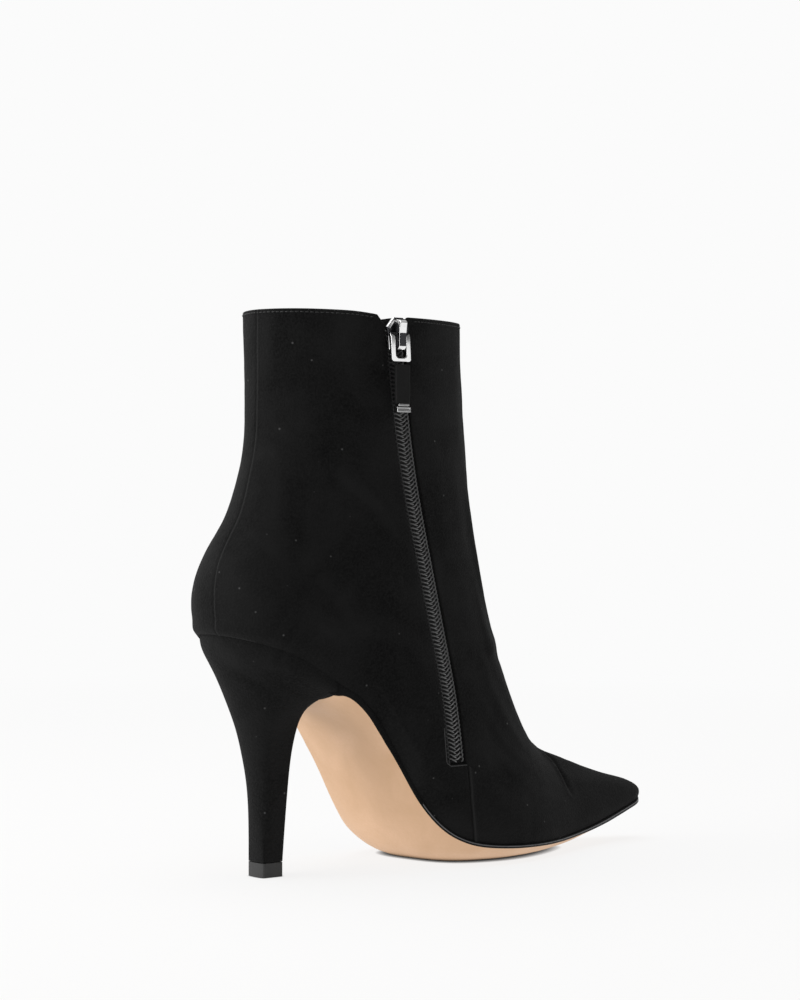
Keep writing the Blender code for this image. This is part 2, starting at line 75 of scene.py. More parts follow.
# Sole line along the foot: height of the feather line at the inner side, how much lower it runs
# at the outer side, and the depth of the sole's black edge and of its rounded underside
SoleLine = namedtuple("SoleLine", "x height drop edge crown")
SOLE_LINE = (
    SoleLine(SEAT_BACK, HEEL_HEIGHT, 0.0, 3.0, 3.0),
    SoleLine(0.0, 86.0, 0.0, 3.0, 3.0),
    SoleLine(17.0, 76.5, 1.0, 3.8, 3.0),
    SoleLine(29.0, 69.0, 3.5, 2.6, 4.0),
    SoleLine(38.0, 59.5, 5.0, 2.2, 4.8),
    SoleLine(48.0, 43.0, 5.0, 2.0, 5.0),
    SoleLine(56.0, 29.5, 4.5, 2.0, 5.6),
    SoleLine(64.0, 19.5, 5.3, 2.0, 6.4),
    SoleLine(74.0, 12.3, 4.2, 2.0, 6.8),
    SoleLine(90.0, 8.4, 1.4, 2.0, 6.6),
    SoleLine(112.0, 7.0, 0.0, 2.0, 5.8),
    SoleLine(135.0, 6.8, 0.0, 2.0, 4.4),
    SoleLine(162.0, 9.0, 0.0, 1.9, 2.6),
    SoleLine(TOE_TIP, TOE_SPRING, 0.0, 1.7, 1.2),
)

# Middle line of the last in plan: it swings to the outer side at the ball and back at the toe
SWING = ((SEAT_BACK, 0.0), (20.0, 0.4), (60.0, 2.0), (110.0, 2.0), (150.0, 0.6), (TOE_TIP, -3.0))

# Fineness of the upper's skin: base points around, rows up the wall with fine ones at the slot's
# lower end, columns around in runs between the back seam, the front and the slot's edges, and
# columns close to the back seam and to the slot's toe edge
BASE_POINTS = 720
LOW_ROWS = 30
FINE_ROWS = 24
HIGH_ROWS = 124
ROWS = LOW_ROWS + FINE_ROWS + HIGH_ROWS
FINE_REACH = 6.0
LEVEL_REACH = 14
LEVEL_FADE = 9
OUTER_COLUMNS = 72
FRONT_COLUMNS = 84
SLOT_COLUMNS = 7
BACK_COLUMNS = 44
SEAM_COLUMNS = (0.0, 0.35, 0.8, 1.4, 2.2, 3.4)
EDGE_COLUMNS = (2.4, 1.4, 0.8, 0.4)

# Layers of the wall, as depths under the skin, the half-round rim at collar and slot, and how many
# rows and columns the lining stays back from them and steps over
SUEDE_DEPTHS = (0.0, 1.3)
RIM = (SUEDE_DEPTHS[1] - SUEDE_DEPTHS[0]) / 2
RIM_ANGLES = (30, 60, 90, 120, 150)
LINING_DEPTHS = (1.36, 1.8)
LINING_BELOW = 2
LINING_ASIDE = (4, 1)
LINING_STEP = 2

# Angles in degrees past which edges look sharp: on most pieces, on the heel and on the wall
SHARP = 40
HEEL_SHARP = 50
WALL_SHARP = 75

# Slight unevenness of the suede: heights and lengths of its waves
UNEVEN = ((0.14, 15.0), (0.07, 5.0))

# Painted light: the suede made lighter towards the toe along X and down the heel along Z: where
# that starts, where it is full, and how much
TOE_PAINTED_LIGHT = (146.0, 168.0, 0.2)
HEEL_PAINTED_LIGHT = (75.0, 40.0, 0.13)

# Dust: the place where more specks lie, how many more, and the distances over which they thin out
DUST_PLACE = (92.0, -34.0, 32.0)
DUST_EXTRA = 0.1
DUST_REACH = (10.0, 35.0)

# Creases as troughs along smooth lines on the skin: places, depth and width of the trough, height,
# width and offset of the ridge beside it, and how much painted highlight the ridge gets. A negative
# depth swells the skin. Then the points along a line, how far a fold reaches, the shares of its
# length between which it fades in and out, and the width of its painted highlight.
Fold = namedtuple("Fold", "name line depth width ridge ridge_width offset worn")
FOLDS = (
    Fold("vamp crease",
         ((139.0, -7.2, 40.4), (141.4, -7.0, 39.0), (143.0, -7.4, 37.7), (144.2, -9.8, 35.2),
          (144.6, -12.6, 32.2), (145.0, -15.3, 28.4), (145.6, -17.3, 24.7)),
         2.0, 1.7, 1.0, 1.3, -2.0, 1.0),
    Fold("crease over the crest",
         ((137.0, 13.0, 39.2), (135.5, 8.0, 43.4), (135.2, 4.0, 45.0), (135.5, 0.0, 45.1),
          (136.0, -4.0, 43.8), (138.6, -6.4, 41.0), (142.0, -7.1, 38.6)),
         0.8, 1.8, 0.4, 1.8, -2.2, 0.1),
    Fold("vamp crest",
         ((134.0, -7.0, 44.0), (138.0, -5.5, 42.0), (143.0, -4.0, 40.0), (149.0, -1.0, 38.2),
          (157.0, 2.0, 36.0)),
         -1.2, 6.0, 0.0, 1.0, 0.0, 0.0),
    Fold("counter edge",
         ((-8.0, -28.4, 92.6), (-18.4, -21.4, 96.4), (-24.4, -10.1, 98.2), (-25.9, 0.0, 98.8),
          (-24.4, 10.1, 98.2), (-18.4, 21.4, 96.4), (-8.0, 28.5, 92.6)),
         -1.3, 2.8, 0.0, 1.0, 0.0, 0.0),
    Fold("ankle crease",
         ((108.5, -8.0, 82.0), (103.3, -18.8, 83.2), (98.1, -22.4, 83.5), (94.5, -23.6, 85.4),
          (87.3, -25.9, 86.6)),
         0.7, 2.4, 0.5, 4.5, -6.0, 0.0),
)
FOLD_STEPS = 36
FOLD_REACH = 25.0
FOLD_ENDS = (0.04, 0.96)
FOLD_HIGHLIGHT_WIDTH = 0.8

# Sewn seams: depth and width of the groove, height and width of the ridge, and its offset. The back
# seam lies on the inner side by an amount that changes with height, and the side seam runs from
# the zip's lower end to the sole. Their raised edges get a painted highlight, a little lighter.
Seam = namedtuple("Seam", "depth width ridge ridge_width offset")
BACK_SEAM = Seam(0.26, 0.5, 0.28, 0.45, -0.7)
BACK_SEAM_PATH = ((95.0, 4.6), (110.0, 5.2), (138.0, 3.8), (160.0, 2.0), (222.0, 1.8))
BACK_SEAM_PAINTED_HIGHLIGHT = 0.35
SIDE_SEAM = Seam(0.6, 0.45, 0.45, 0.6, 0.85)
SIDE_SEAM_PATH = ((5.0, 79.9), (9.8, 79.0), (17.2, 77.2), (27.5, 75.4), (34.9, 74.7), (42.0, 74.5))
SIDE_SEAM_PAINTED_HIGHLIGHT = 0.6
SEAM_HIGHLIGHT_WIDTH = 0.42

# Zip on the inner side: its path from the lower end to the collar, the slot that it lies in, with a
# rounded lower corner and a wider mouth, and the tape. Depths count inwards from the outer skin,
# whose lean is read over a step to either side.
ZIP_PATH = ((42.0, 69.9), (68.0, 68.8), (95.0, 63.5), (122.0, 57.0), (148.0, 50.5),
            (180.0, 44.2), (205.0, 40.4), (222.0, 38.0))
ZIP_TOP = 217.5
SLOT_HALF = 4.6
SLOT_END = 42.3
SLOT_CORNER = 2.6
SLOT_MOUTH_HALF = 7.4
SLOT_MOUTH = (216.6, 220.6)
SKIN_TOP = 219.4
SLOPE_STEP = 4.0
RAY_START = -200.0
TAPE_ACROSS = tuple(np.linspace(-8.5, 8.5, 13))
TAPE_DEPTHS = (2.2, 2.9)
TAPE_END = 38.0
TAPE_STATIONS = 120

# Coil of the zip: pitch along it, the height above which it takes painted shade from the puller, and
# the wire's run from the middle outwards as place across, place up and depth. The cords sewn beside
# it and the piping at the slot's lower end are wires too.
COIL_PITCH = 1.66
COIL_LOW = 43.2
COIL_PAINTED_SHADE = 184.0
COIL_WIRE = 0.29
COIL_RUN = ((-0.5, 0.0, 1.3), (0.1, 0.05, 0.6), (0.9, 0.4, 0.3), (1.8, 0.95, 0.4),
            (2.4, 1.35, 0.8), (2.7, 1.5, 1.5))
CORD_ASIDE = 3.55
CORD_RUN = ((-0.35, -0.8, 1.3), (-0.12, -0.35, 0.75), (0.12, 0.35, 0.75), (0.35, 0.8, 1.3))
CORD_WIRE = 0.3
PIPING_WIRE = 0.32
PIPING_SINK = 0.2
PIPING_ROWS = 18
WIRE_SIDES = 6

# Stitches: pitch, length and thickness of the thread, its run, their distance from the collar's rim,
# and the rows over which the skin's pitch is read there
STITCH_PITCH = 2.0
STITCH_LENGTH = 1.45
STITCH_WIRE = 0.2
STITCH_RUN = ((-0.5, -0.2), (-0.3, 0.04), (0.0, 0.1), (0.3, 0.04), (0.5, -0.2))
COLLAR_STITCH = 0.9
COLLAR_ROWS = 4

# Leather sole, from a start inside the heel: how its lip grows past the upper, the share of the edge
# that shows and the underside's extra depth along the foot, where the suede covering of the edge
# ends, where the tan starts, how the underside flattens out at the toe, and the edge's profile
BREAST = 17.0
SOLE_START = BREAST - 4.0
SOLE_LIP = 0.7
LIP_GROWTH = ((SOLE_START, 16.8, 27.0), (-2.5, 0.1, SOLE_LIP))
SOLE_EDGE = ((12.0, 1.4), (15.0, 1.4), (17.0, 1.2), (19.5, 0.9), (23.5, 0.82), (27.0, 1.0),
             (32.0, 1.35), (36.0, 1.8), (40.0, 1.95), (44.0, 1.65), (48.0, 1.4), (54.0, 1.3),
             (60.0, 1.0), (74.0, 0.65), (110.0, 0.52), (150.0, 0.58), (172.0, 0.8))
SOLE_DEEP = ((12.0, 17.0, 25.0, 34.0), (1.5, 1.5, 0.6, 0.0))
COVERED_EDGE = 56.0
TAN_START = 14.5
CROWN_FADE = ((148.0, 176.0, TOE_TIP), (1.0, 0.25, 0.0))
CROWN_POWER = 3.0
SOLE_STATIONS = 150
SOLE_ACROSS = 41
SOLE_TOP = (-1.0, -0.6, 0.0, 0.6, 1.0)
SOLE_TOP_INSET = 0.3
SOLE_SIDE = ((-0.35, 0.0), (-0.12, 0.1), (0.0, 0.35), (0.1, 0.65), (0.08, 0.85))
# Face of the edge's profile that takes a painted highlight, a lighter grey strip
HIGHLIGHT_FACE = 2
SOLE_FINISHES = ("sole", "edge", "edge_painted_highlight", "suede")
TAN, INK, PAINTED_HIGHLIGHT, COVER = range(len(SOLE_FINISHES))

# Insole: its distance from the feather line and from both ends, and its edge that thins out
INSOLE_INSET = 2.3
INSOLE_THICK = 2.0
INSOLE_ENDS = (3.0, 12.0)
INSOLE_STATIONS = 110
INSOLE_ACROSS = (-1.0, -0.97, -0.9, -0.6, 0.0, 0.6, 0.9, 0.97, 1.0)
INSOLE_EDGE = 0.6
INSOLE_EDGE_START = 0.9

# Covered heel, a row for each slice from the top piece up: places of its back and its breast in
# the middle plane, half width, and the lengths over which back and breast round off. The heel's
# top is tucked in a little below the upper.
HeelSlice = namedtuple("HeelSlice", "back_x back_z front_x front_z half back_cap front_cap")
TIP_HEIGHT = 5.7
TIP_HALF = 5.25
HEEL_TUCK = 0.3
HEEL_POINTS = 128
HEEL_ROWS = 64
HEEL_SLICES = (
    HeelSlice(-TIP_HALF, TIP_HEIGHT + GAP, TIP_HALF, TIP_HEIGHT + GAP, TIP_HALF, 0.9, 0.9),
    HeelSlice(-6.5, 30.0, 7.3, 30.0, 6.6, 4.0, 2.2),
    HeelSlice(-8.6, 45.0, 8.6, 46.0, 8.0, 5.6, 2.8),
    HeelSlice(-11.5, 57.0, 10.1, 57.0, 10.2, 8.5, 3.4),
    HeelSlice(-15.3, 68.0, 11.8, 64.4, 13.9, 13.0, 4.0),
    HeelSlice(-20.2, 81.0, 14.6, 69.4, 19.5, 18.5, 2.6),
    HeelSlice(-24.4, 91.0, 16.8, 72.6, 25.2, 23.5, 1.2),
)

# Zip slider near the collar: outline and layers of its plate, and the bridge in side view. The dark
# faces carry a painted reflection: a darker metal for the dark suede and the camera's side they mirror.
SLIDER_Z = 213.3
PLATE_OUTLINE = ((-4.0, -6.4), (4.0, -6.4), (4.6, -1.0), (5.4, 2.6), (2.4, 6.4),
                 (-2.4, 6.4), (-5.4, 2.6), (-4.6, -1.0))
PLATE_LAYERS = ((0.8, 1.0), (1.55, 1.0), (1.95, 0.96), (1.95, 0.8), (1.75, 0.77))
PLATE_PAINTED_REFLECTION = (0, 1, 2, 3, 4, 6)
PLATE_ROUND = 0.25
BRIDGE_WIDTH = 3.4
BRIDGE_PROFILE = ((-6.6, 1.6), (-6.2, 4.2), (-5.4, 5.1), (-4.8, 5.3), (0.4, 5.2), (4.6, 5.6),
                  (5.4, 4.6), (5.8, 1.6), (4.6, 1.6), (4.2, 3.6), (2.8, 4.5), (-4.2, 4.5),
                  (-5.1, 3.6), (-5.4, 1.6))
BRIDGE_PAINTED_REFLECTION = (3,)
BRIDGE_ROUND = 0.2

# Puller below its pivot. The wire frame has a half width, top, bottom and four corners outside and
# inside, flat arms whose front steps back at a shoulder, and a lean. The tab hangs from it, and the
# metal end has a bar, a slit and a box with a rim.
PIVOT_HEIGHT = 3.3
RING_OUTER = (4.7, 0.5, -10.9, (0.5, 0.5, 1.2, 1.2))
RING_INNER = (2.7, -0.6, -9.6, (0.4, 0.4, 1.7, 1.7))
RING_SHOULDER = -1.2
# Height under the pivot above which the ring's faces take painted shade, a darker metal
RING_PAINTED_SHADE = -1.1
RING_FRONT = ((-10.9, -1.2, -0.6), (0.3, 1.15, 0.7))
RING_BACK = 0.7
RING_LEAN = (-0.7, -0.12)
RING_STEPS = 8
RING_ROUND = 0.25
TAB_TOP = -12.0
TAB_WIDTH = 6.9
TAB_DROP = 15.5
TAB_HALF_THICK = 0.9
TAB_ASIDE = 1.05
TAB_ROUND = 0.6
END_WIDTH = 6.6
END_DROP = 3.2
END_HALF_THICK = 1.2
END_RIM = 0.5
END_BAR = (5.2, 0.8)
END_SLIT = 0.4
END_ROUND = 0.15
WEB_INSET = (0.3, 0.2)

# Rounding of the heel's top piece, and the reach that welds the points of its faces
TIP_ROUND = 0.3
TIP_ROUND_ANGLE = 50
WELD_REACH = 0.01

# Camera of the photo
CAMERA_PLACE = (-573.9, -820.6, 148.0)
CAMERA_TURN = 38.0
CAMERA_LENS = 91.44
SENSOR = 36.0

# Studio light: level of the background, the floor's size, its own glow near the boot, where that
# fades out, and the reach of the contact shadow painted into that glow. The light from around changes
# towards the camera and towards its left, by two cosines and the levels there. Soft lamps have a
# place, size and power.
BACKGROUND = 0.965
FLOOR_HALF = 6000.0
FLOOR_GLOW = 0.86
FLOOR_FADE = (300.0, 1100.0)
CONTACT = 2.2
CONTACT_OPEN = 0.85
CAMERA_SIDE = (0.3, 0.9, 1.0, 0.2)
LEFT_SIDE = (-0.7, 0.9, 0.22, 1.0)
LEFT_RISE = 0.5
LAMPS = {"left": ((-1200.0, 500.0, 400.0), 1200.0, 13.0), "top": ((0.0, 200.0, 1400.0), 1200.0, 13.0)}
LAMP_AIM = (60.0, 0.0, 110.0)


def spline(knots, values, at):
    """Natural cubic spline through values at knots, read at one place or many."""
    knots = np.asarray(knots, float)
    values = np.asarray(values, float)
    flat = values.reshape(len(knots), -1)
    step = np.diff(knots)
    slope = np.diff(flat, axis=0) / step[:, None]
    system = np.eye(len(knots))
    right = np.zeros_like(flat)
    for i in range(1, len(knots) - 1):
        system[i, i - 1:i + 2] = step[i - 1], 2 * (step[i - 1] + step[i]), step[i]
        right[i] = 6 * (slope[i] - slope[i - 1])
    bend = np.linalg.solve(system, right)
    at = np.asarray(at, float)
    i = np.clip(np.searchsorted(knots, at.ravel()) - 1, 0, len(step) - 1)
    width = step[i][:, None]
    ahead = (at.ravel() - knots[i])[:, None] / width
    behind = 1 - ahead
    curve = (behind ** 3 - behind) * bend[i] + (ahead ** 3 - ahead) * bend[i + 1]
    found = behind * flat[i] + ahead * flat[i + 1] + curve * width ** 2 / 6
    return found.reshape(at.shape + values.shape[1:])


def travelled(line):
    """Distance along a line at each of its points."""
    return np.concatenate([[0.0], np.cumsum(np.linalg.norm(np.diff(line, axis=0), axis=1))])


def between(at, places, points):
    """Points read at places between those of a line."""
    return np.stack([np.interp(at, places, points[:, axis]) for axis in range(3)], axis=1)


def bell(distance, width):
    """A soft bump, full at no distance."""
    return np.exp(-(distance / width) ** 2)


def round_end(distance, reach):
    """Elliptical rounding of a width within reach of an end."""
    return np.sqrt(1 - np.clip(1 - distance / reach, 0, 1) ** 2)


def middle_line(x):
    """Sideways place of the last's middle line."""
    return spline(*zip(*SWING), x)


def sole_value(column, x):
    """One column of the sole line at x."""
    return spline([row.x for row in SOLE_LINE], [getattr(row, column) for row in SOLE_LINE], x)


def feather_z(x, side):
    """Height of the feather line, for side from -1 on the inner edge to 1 on the outer one."""
    return sole_value("height", x) - sole_value("drop", x) * (1 + side) / 2


def half_width(section, x):
    """Half the width of a section: a spline through its stations, rounded at both ends."""
    share = (x - section.back_x) / (section.front_x - section.back_x)
    widths = (section.seat, section.seat, section.waist, section.ball, section.toe, section.nose)
    base = spline(STATIONS, widths, share) * BALL_WIDTH / 200
    back = round_end(x - section.back_x, section.back_cap)
    return base * back * round_end(section.front_x - x, section.front_cap)


FEATHER, WALL_TOP = SECTIONS[:2]
CREST = sorted((section.front_x, section.front_z) for section in SECTIONS[1:])


def turns(count):
    """Share of the way from back to front, and side, for points around a closed loop."""
    angle = np.arange(count) * 2 * np.pi / count
    return (1 - np.cos(angle)) / 2, np.sign(np.round(np.sin(angle), 9))


def section_z(section, x, side):
    """Height of a section: a straight line from back to front, bent with the arch of the foot."""
    share = (x - section.back_x) / (section.front_x - section.back_x)
    sole_x = FEATHER.back_x + share * FOOT_LENGTH
    arch = feather_z(sole_x, side) - (HEEL_HEIGHT + share * (TOE_SPRING - HEEL_HEIGHT))
    back_z = HEEL_HEIGHT + section.rise
    return back_z + share * (section.front_z - back_z) + section.sag * arch


def vamp_half(x, z, side):
    """Half width over the forefoot, which rounds from the wall up to the crest of the foot."""
    crest_x, crest_z = zip(*CREST)
    crest = spline(crest_x, crest_z, np.clip(x, crest_x[0], crest_x[-1]))
    foot = section_z(WALL_TOP, x, side)
    climb = np.clip((z - foot) / (crest - foot), 0, 1)
    power = np.interp(x, *VAMP_POWERS)
    return half_width(WALL_TOP, x) * (1 - climb ** power) ** (1 / VAMP_ROUND)


def section_loop(section):
    """The points of one section of the last, from the back along the outer side and round."""
    share, side = turns(BASE_POINTS)
    x = section.back_x + share * (section.front_x - section.back_x)
    z = section_z(section, x, side)
    half = half_width(section, x)
    if section not in (FEATHER, WALL_TOP):
        start, end = VAMP_BLEND
        blend = np.clip((x - start) / (end - start), 0, 1)
        half += blend ** 2 * (3 - 2 * blend) * (vamp_half(x, z, side) - half)
    return np.stack([x, middle_line(x) + side * half, z], axis=1)


def base_rows():
    """Rows of the skin with many points around, up the wall to the rim."""
    loops = np.stack([section_loop(section) for section in SECTIONS])
    spacing = np.linalg.norm(np.diff(loops, axis=0), axis=2).mean(axis=1)
    knots = np.concatenate([[0.0], np.cumsum(spacing)])
    end = slot_place(knots, loops)
    places = np.concatenate([
        np.linspace(0, end - FINE_REACH, LOW_ROWS, endpoint=False),
        np.linspace(end - FINE_REACH, end + FINE_REACH, FINE_ROWS, endpoint=False),
        np.linspace(end + FINE_REACH, knots[-1] - RIM, HIGH_ROWS),
    ])
    return spline(knots, loops, places)


def slot_place(knots, loops):
    """Place up the wall where the zip slot's lower end lies."""
    places = np.linspace(0, knots[-1], HIGH_ROWS)
    heights = []
    for row in spline(knots, loops, places):
        inner = np.vstack([row, row[:1]])[BASE_POINTS // 2:][::-1]
        heights.append(np.interp(0.0, inner[:, 0] - zip_x(inner[:, 2]), inner[:, 2]))
    return np.interp(SLOT_END - RIM, heights, places)


def level_slot(points, open_row):
    """Bend the rows near the zip slot's lower end, so that this end runs level."""
    shift = np.zeros(points.shape[1])
    for column in range(TOE_COLUMN, HEEL_COLUMN + 1):
        shift[column] = np.interp(SLOT_END - RIM, points[:, column, 2], np.arange(ROWS)) - open_row
    for step in range(1, LEVEL_FADE):
        shift[TOE_COLUMN - step] = shift[TOE_COLUMN] * (1 - step / LEVEL_FADE)
        shift[HEEL_COLUMN + step] = shift[HEEL_COLUMN] * (1 - step / LEVEL_FADE)
    rows = np.arange(ROWS)
    near = np.clip(1 - abs(rows - open_row) / LEVEL_REACH, 0, 1) ** 2
    bent = points.copy()
    for column in np.flatnonzero(shift):
        bent[:, column] = between(rows + shift[column] * near, rows, points[:, column])
    return bent


def zip_x(z):
    """The zip's place along the boot at a height, and beside the side seam below its lower end."""
    heights, places = zip(*ZIP_PATH)
    seam = np.interp(z, *zip(*SIDE_SEAM_PATH)) - SLOT_HALF
    path = spline(heights, places, np.maximum(z, heights[0]))
    return np.where(np.asarray(z) < heights[0], seam, path)


def zip_lean(z):
    """How the zip leans along the boot at a height."""
    return (zip_x(z + 1.0) - zip_x(z - 1.0)) / 2


def zip_offset(z, aside):
    """A point beside the zip's path in side view, aside towards the toe."""
    lean = zip_lean(z)
    length = math.hypot(1.0, lean)
    return float(zip_x(z) + aside / length), float(z - aside * lean / length)


def slot_half(z):
    """Half width of the zip slot, which opens out below the collar."""
    return np.interp(z, SLOT_MOUTH, (SLOT_HALF, SLOT_MOUTH_HALF))


def slot_corner(z):
    """How much the slot's lower corner rounds off at a height."""
    share = np.clip((SLOT_END + SLOT_CORNER - z) / SLOT_CORNER, 0, 1)
    return SLOT_CORNER * (1 - np.sqrt(1 - share ** 2))


def row_columns(row):
    """Points of one row in columns that follow the back seam, the slot's edges and the side seam.

    Also gives each point's place beside the back seam, and beside the slot's toe edge.
    """
    closed = np.vstack([row, row[:1]])
    along = travelled(closed)
    shift = np.interp(row[0, 2], *zip(*BACK_SEAM_PATH))
    middle = BASE_POINTS // 2
    front, total = along[middle] + shift, along[-1]
    inner, inner_along = closed[middle:][::-1], along[middle:][::-1] + shift
    height = inner[:, 2]
    aside = (inner[:, 0] - zip_x(height)) / np.hypot(1.0, zip_lean(height))
    half = slot_half(height) + RIM
    toe_edge = np.interp(0.0, aside - half, inner_along)
    heel_edge = np.interp(0.0, aside + half - slot_corner(height + RIM), inner_along)
    seam, near = np.array(SEAM_COLUMNS), np.array(EDGE_COLUMNS)
    places = np.concatenate([
        seam[:-1],
        np.linspace(seam[-1], front, OUTER_COLUMNS, endpoint=False),
        np.linspace(front, toe_edge - near[0], FRONT_COLUMNS, endpoint=False),
        toe_edge - near,
        [toe_edge],
        toe_edge + near[:0:-1],
        np.linspace(toe_edge + near[0], heel_edge, SLOT_COLUMNS, endpoint=False),
        np.linspace(heel_edge, total - seam[-1], BACK_COLUMNS, endpoint=False),
        total - seam[:0:-1],
    ])
    points = between((places - shift) % total, along, closed)
    beside = np.where(places < total / 2, places, places - total)
    return points, beside, places - toe_edge


TOE_COLUMN = len(SEAM_COLUMNS) - 1 + OUTER_COLUMNS + FRONT_COLUMNS + len(EDGE_COLUMNS)
HEEL_COLUMN = TOE_COLUMN + len(EDGE_COLUMNS) + SLOT_COLUMNS


def unit(vectors):
    """Vectors scaled to length one."""
    return vectors / np.linalg.norm(vectors, axis=-1, keepdims=True)


def fold_relief(points, normals, fold):
    """How far a trough along a line and the ridge beside it move the skin, and the ridge's painted
    highlight.
    """
    knots = np.array(fold.line)
    chords = travelled(knots)
    line = spline(chords, knots, np.linspace(0.0, chords[-1], FOLD_STEPS))
    starts, runs = line[:-1], np.diff(line, axis=0)
    lengths = np.linalg.norm(runs, axis=1)
    nearest = np.full(points.shape[:-1], np.inf)
    aside = np.zeros_like(nearest)
    travel = np.zeros_like(nearest)
    done = 0.0
    for start, run, length in zip(starts, runs, lengths):
        away = points - start
        share = np.clip((away @ run) / length ** 2, 0, 1)
        gap = away - share[..., None] * run
        distance = np.linalg.norm(gap, axis=-1)
        closer = distance < nearest
        across = np.cross(normals, run / length)
        nearest = np.where(closer, distance, nearest)
        aside = np.where(closer, np.sign((gap * across).sum(axis=-1)) * distance, aside)
        travel = np.where(closer, done + share * length, travel)
        done += length
    fade = np.sqrt(np.sin(np.pi * np.clip(travel / done, *FOLD_ENDS)))
    trough = -fold.depth * bell(aside, fold.width)
    ridge = fold.ridge * bell(aside - fold.offset, fold.ridge_width)
    # Painted highlight along the ridge
    worn = fold.worn * bell(aside - fold.offset / 2, FOLD_HIGHLIGHT_WIDTH)
    near = nearest < FOLD_REACH
    return np.where(near, fade * (trough + ridge), 0.0), np.where(near, fade * worn, 0.0)


def painted_light_share(place, spread):
    """How much painted light the suede gets at a place, from none at the start of a spread to its full
    share.
    """
    start, full, share = spread
    return share * np.clip((place - start) / (full - start), 0, 1)


def seam_relief(distance, seam):
    """How far a sewn seam moves the skin at a distance from it, with a ridge on its positive side."""
    ridge = seam.ridge * bell(distance - seam.offset, seam.ridge_width)
    return ridge - seam.depth * bell(distance, seam.width)


def uneven_relief(points):
    """Slight unevenness of the suede."""
    relief = np.zeros(points.shape[:-1])
    for height, length in UNEVEN:
        waves = [noise.noise(Vector(point) / length) for point in points.reshape(-1, 3)]
        relief += height * np.reshape(waves, relief.shape)
    return relief


class Skin:
    """The upper's outer skin: a grid of rows up the wall and columns around the boot."""

    def __init__(self):
        rows = [row_columns(row) for row in base_rows()]
        self.smooth, back, aside = (np.stack(part) for part in zip(*rows))
        slot = self.smooth[:, TOE_COLUMN:HEEL_COLUMN + 1, 2].mean(axis=1)
        self.open_row = int(np.searchsorted(slot, SLOT_END - RIM))
        self.smooth = level_slot(self.smooth, self.open_row)
        self.around = self.smooth.shape[1]
        around = np.roll(self.smooth, -1, axis=1) - np.roll(self.smooth, 1, axis=1)
        self.normals = unit(np.cross(np.gradient(self.smooth, axis=0), around))
        relief = seam_relief(back, BACK_SEAM) + uneven_relief(self.smooth)
        relief[:self.open_row] += seam_relief(-aside, SIDE_SEAM)[:self.open_row]
        # Painted highlights along the raised edges of the back seam and, below the slot, the side seam
        self.painted_light = BACK_SEAM_PAINTED_HIGHLIGHT * bell(back - BACK_SEAM.offset, SEAM_HIGHLIGHT_WIDTH)
        side_seam_painted_light = SIDE_SEAM_PAINTED_HIGHLIGHT * bell(aside + SIDE_SEAM.offset, SEAM_HIGHLIGHT_WIDTH)
        self.painted_light[:self.open_row] += side_seam_painted_light[:self.open_row]
        # Painted light towards the toe
        self.painted_light += painted_light_share(self.smooth[..., 0], TOE_PAINTED_LIGHT)
        for fold in FOLDS:
            moved, worn = fold_relief(self.smooth, self.normals, fold)
            relief += moved
            self.painted_light += worn
        self.points = self.smooth + relief[..., None] * self.normals
        flat = [Vector(point) for point in self.smooth.reshape(-1, 3)]
        self.tree = BVHTree.FromPolygons(flat, ring_faces(ROWS, self.around))

    def inner_side_y(self, x, z):
        """Sideways place of the skin's inner side."""
        hit = self.tree.ray_cast(Vector((x, RAY_START, z)), Vector((0.0, 1.0, 0.0)))[0]
        return hit.y

    def slopes(self, x, z):
        """How the inner side leans along X and along Z."""
        low = min(z, BOOT_HEIGHT - 4 * SLOPE_STEP)
        along = self.inner_side_y(x + SLOPE_STEP, low) - self.inner_side_y(x - SLOPE_STEP, low)
        up = self.inner_side_y(x, low + SLOPE_STEP) - self.inner_side_y(x, low - SLOPE_STEP)
        return along / (2 * SLOPE_STEP), up / (2 * SLOPE_STEP)

    def at_depth(self, x, z, depth):
        """A point below the inner side's skin, along its normal."""
        along, up = self.slopes(x, z)
        inward = Vector((-along, 1.0, -up)).normalized()
        return Vector((x, self.inner_side_y(x, z), z)) + inward * depth


def ring_faces(rings, around):
    """Quads between closed rings that run up the shape."""
    low = np.arange((rings - 1) * around).reshape(rings - 1, around)
    after = np.roll(low, -1, axis=1)
    quads = np.stack([low, low + around, after + around, after], axis=-1)
    return quads.reshape(-1, 4).tolist()


def add_mesh(name, shape, looks, replaced=(), face_looks=None, body="boot", sharp=SHARP, painted_light=None):
    """Make one piece from points in millimetres and faces, turned outwards and riding on a body.

    The looks are names of finishes, and face_looks has the place among them for each face.
    """
    points, faces = np.asarray(shape[0], float), shape[1]
    used = np.unique(np.concatenate([np.asarray(face).ravel() for face in faces]))
    order = np.full(len(points), -1)
    order[used] = np.arange(len(used))
    faces = [[int(order[i]) for i in face] for face in faces]
    mesh = bpy.data.meshes.new(name)
    mesh.from_pydata((points[used] * MM).tolist(), [], faces)
    # Painted light, where given, is kept as a point attribute for the suede's finish
    if painted_light is not None:
        worn = mesh.attributes.new("painted_light", "FLOAT", "POINT")
        worn.data.foreach_set("value", painted_light[used].astype(np.float32))
    for look in looks:
        mesh.materials.append(finishes[look])
    if face_looks is not None:
        mesh.polygons.foreach_set("material_index", np.asarray(face_looks, np.int32))
    work = bmesh.new()
    work.from_mesh(mesh)
    bmesh.ops.recalc_face_normals(work, faces=work.faces[:])
    work.to_mesh(mesh)
    work.free()
    mesh.shade_smooth()
    mesh.set_sharp_from_angle(angle=math.radians(sharp))
    made = bpy.data.objects.new(name, mesh)
    bpy.context.scene.collection.objects.link(made)
    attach(made, body)
    if replaced:
        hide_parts(*replaced)
    return made


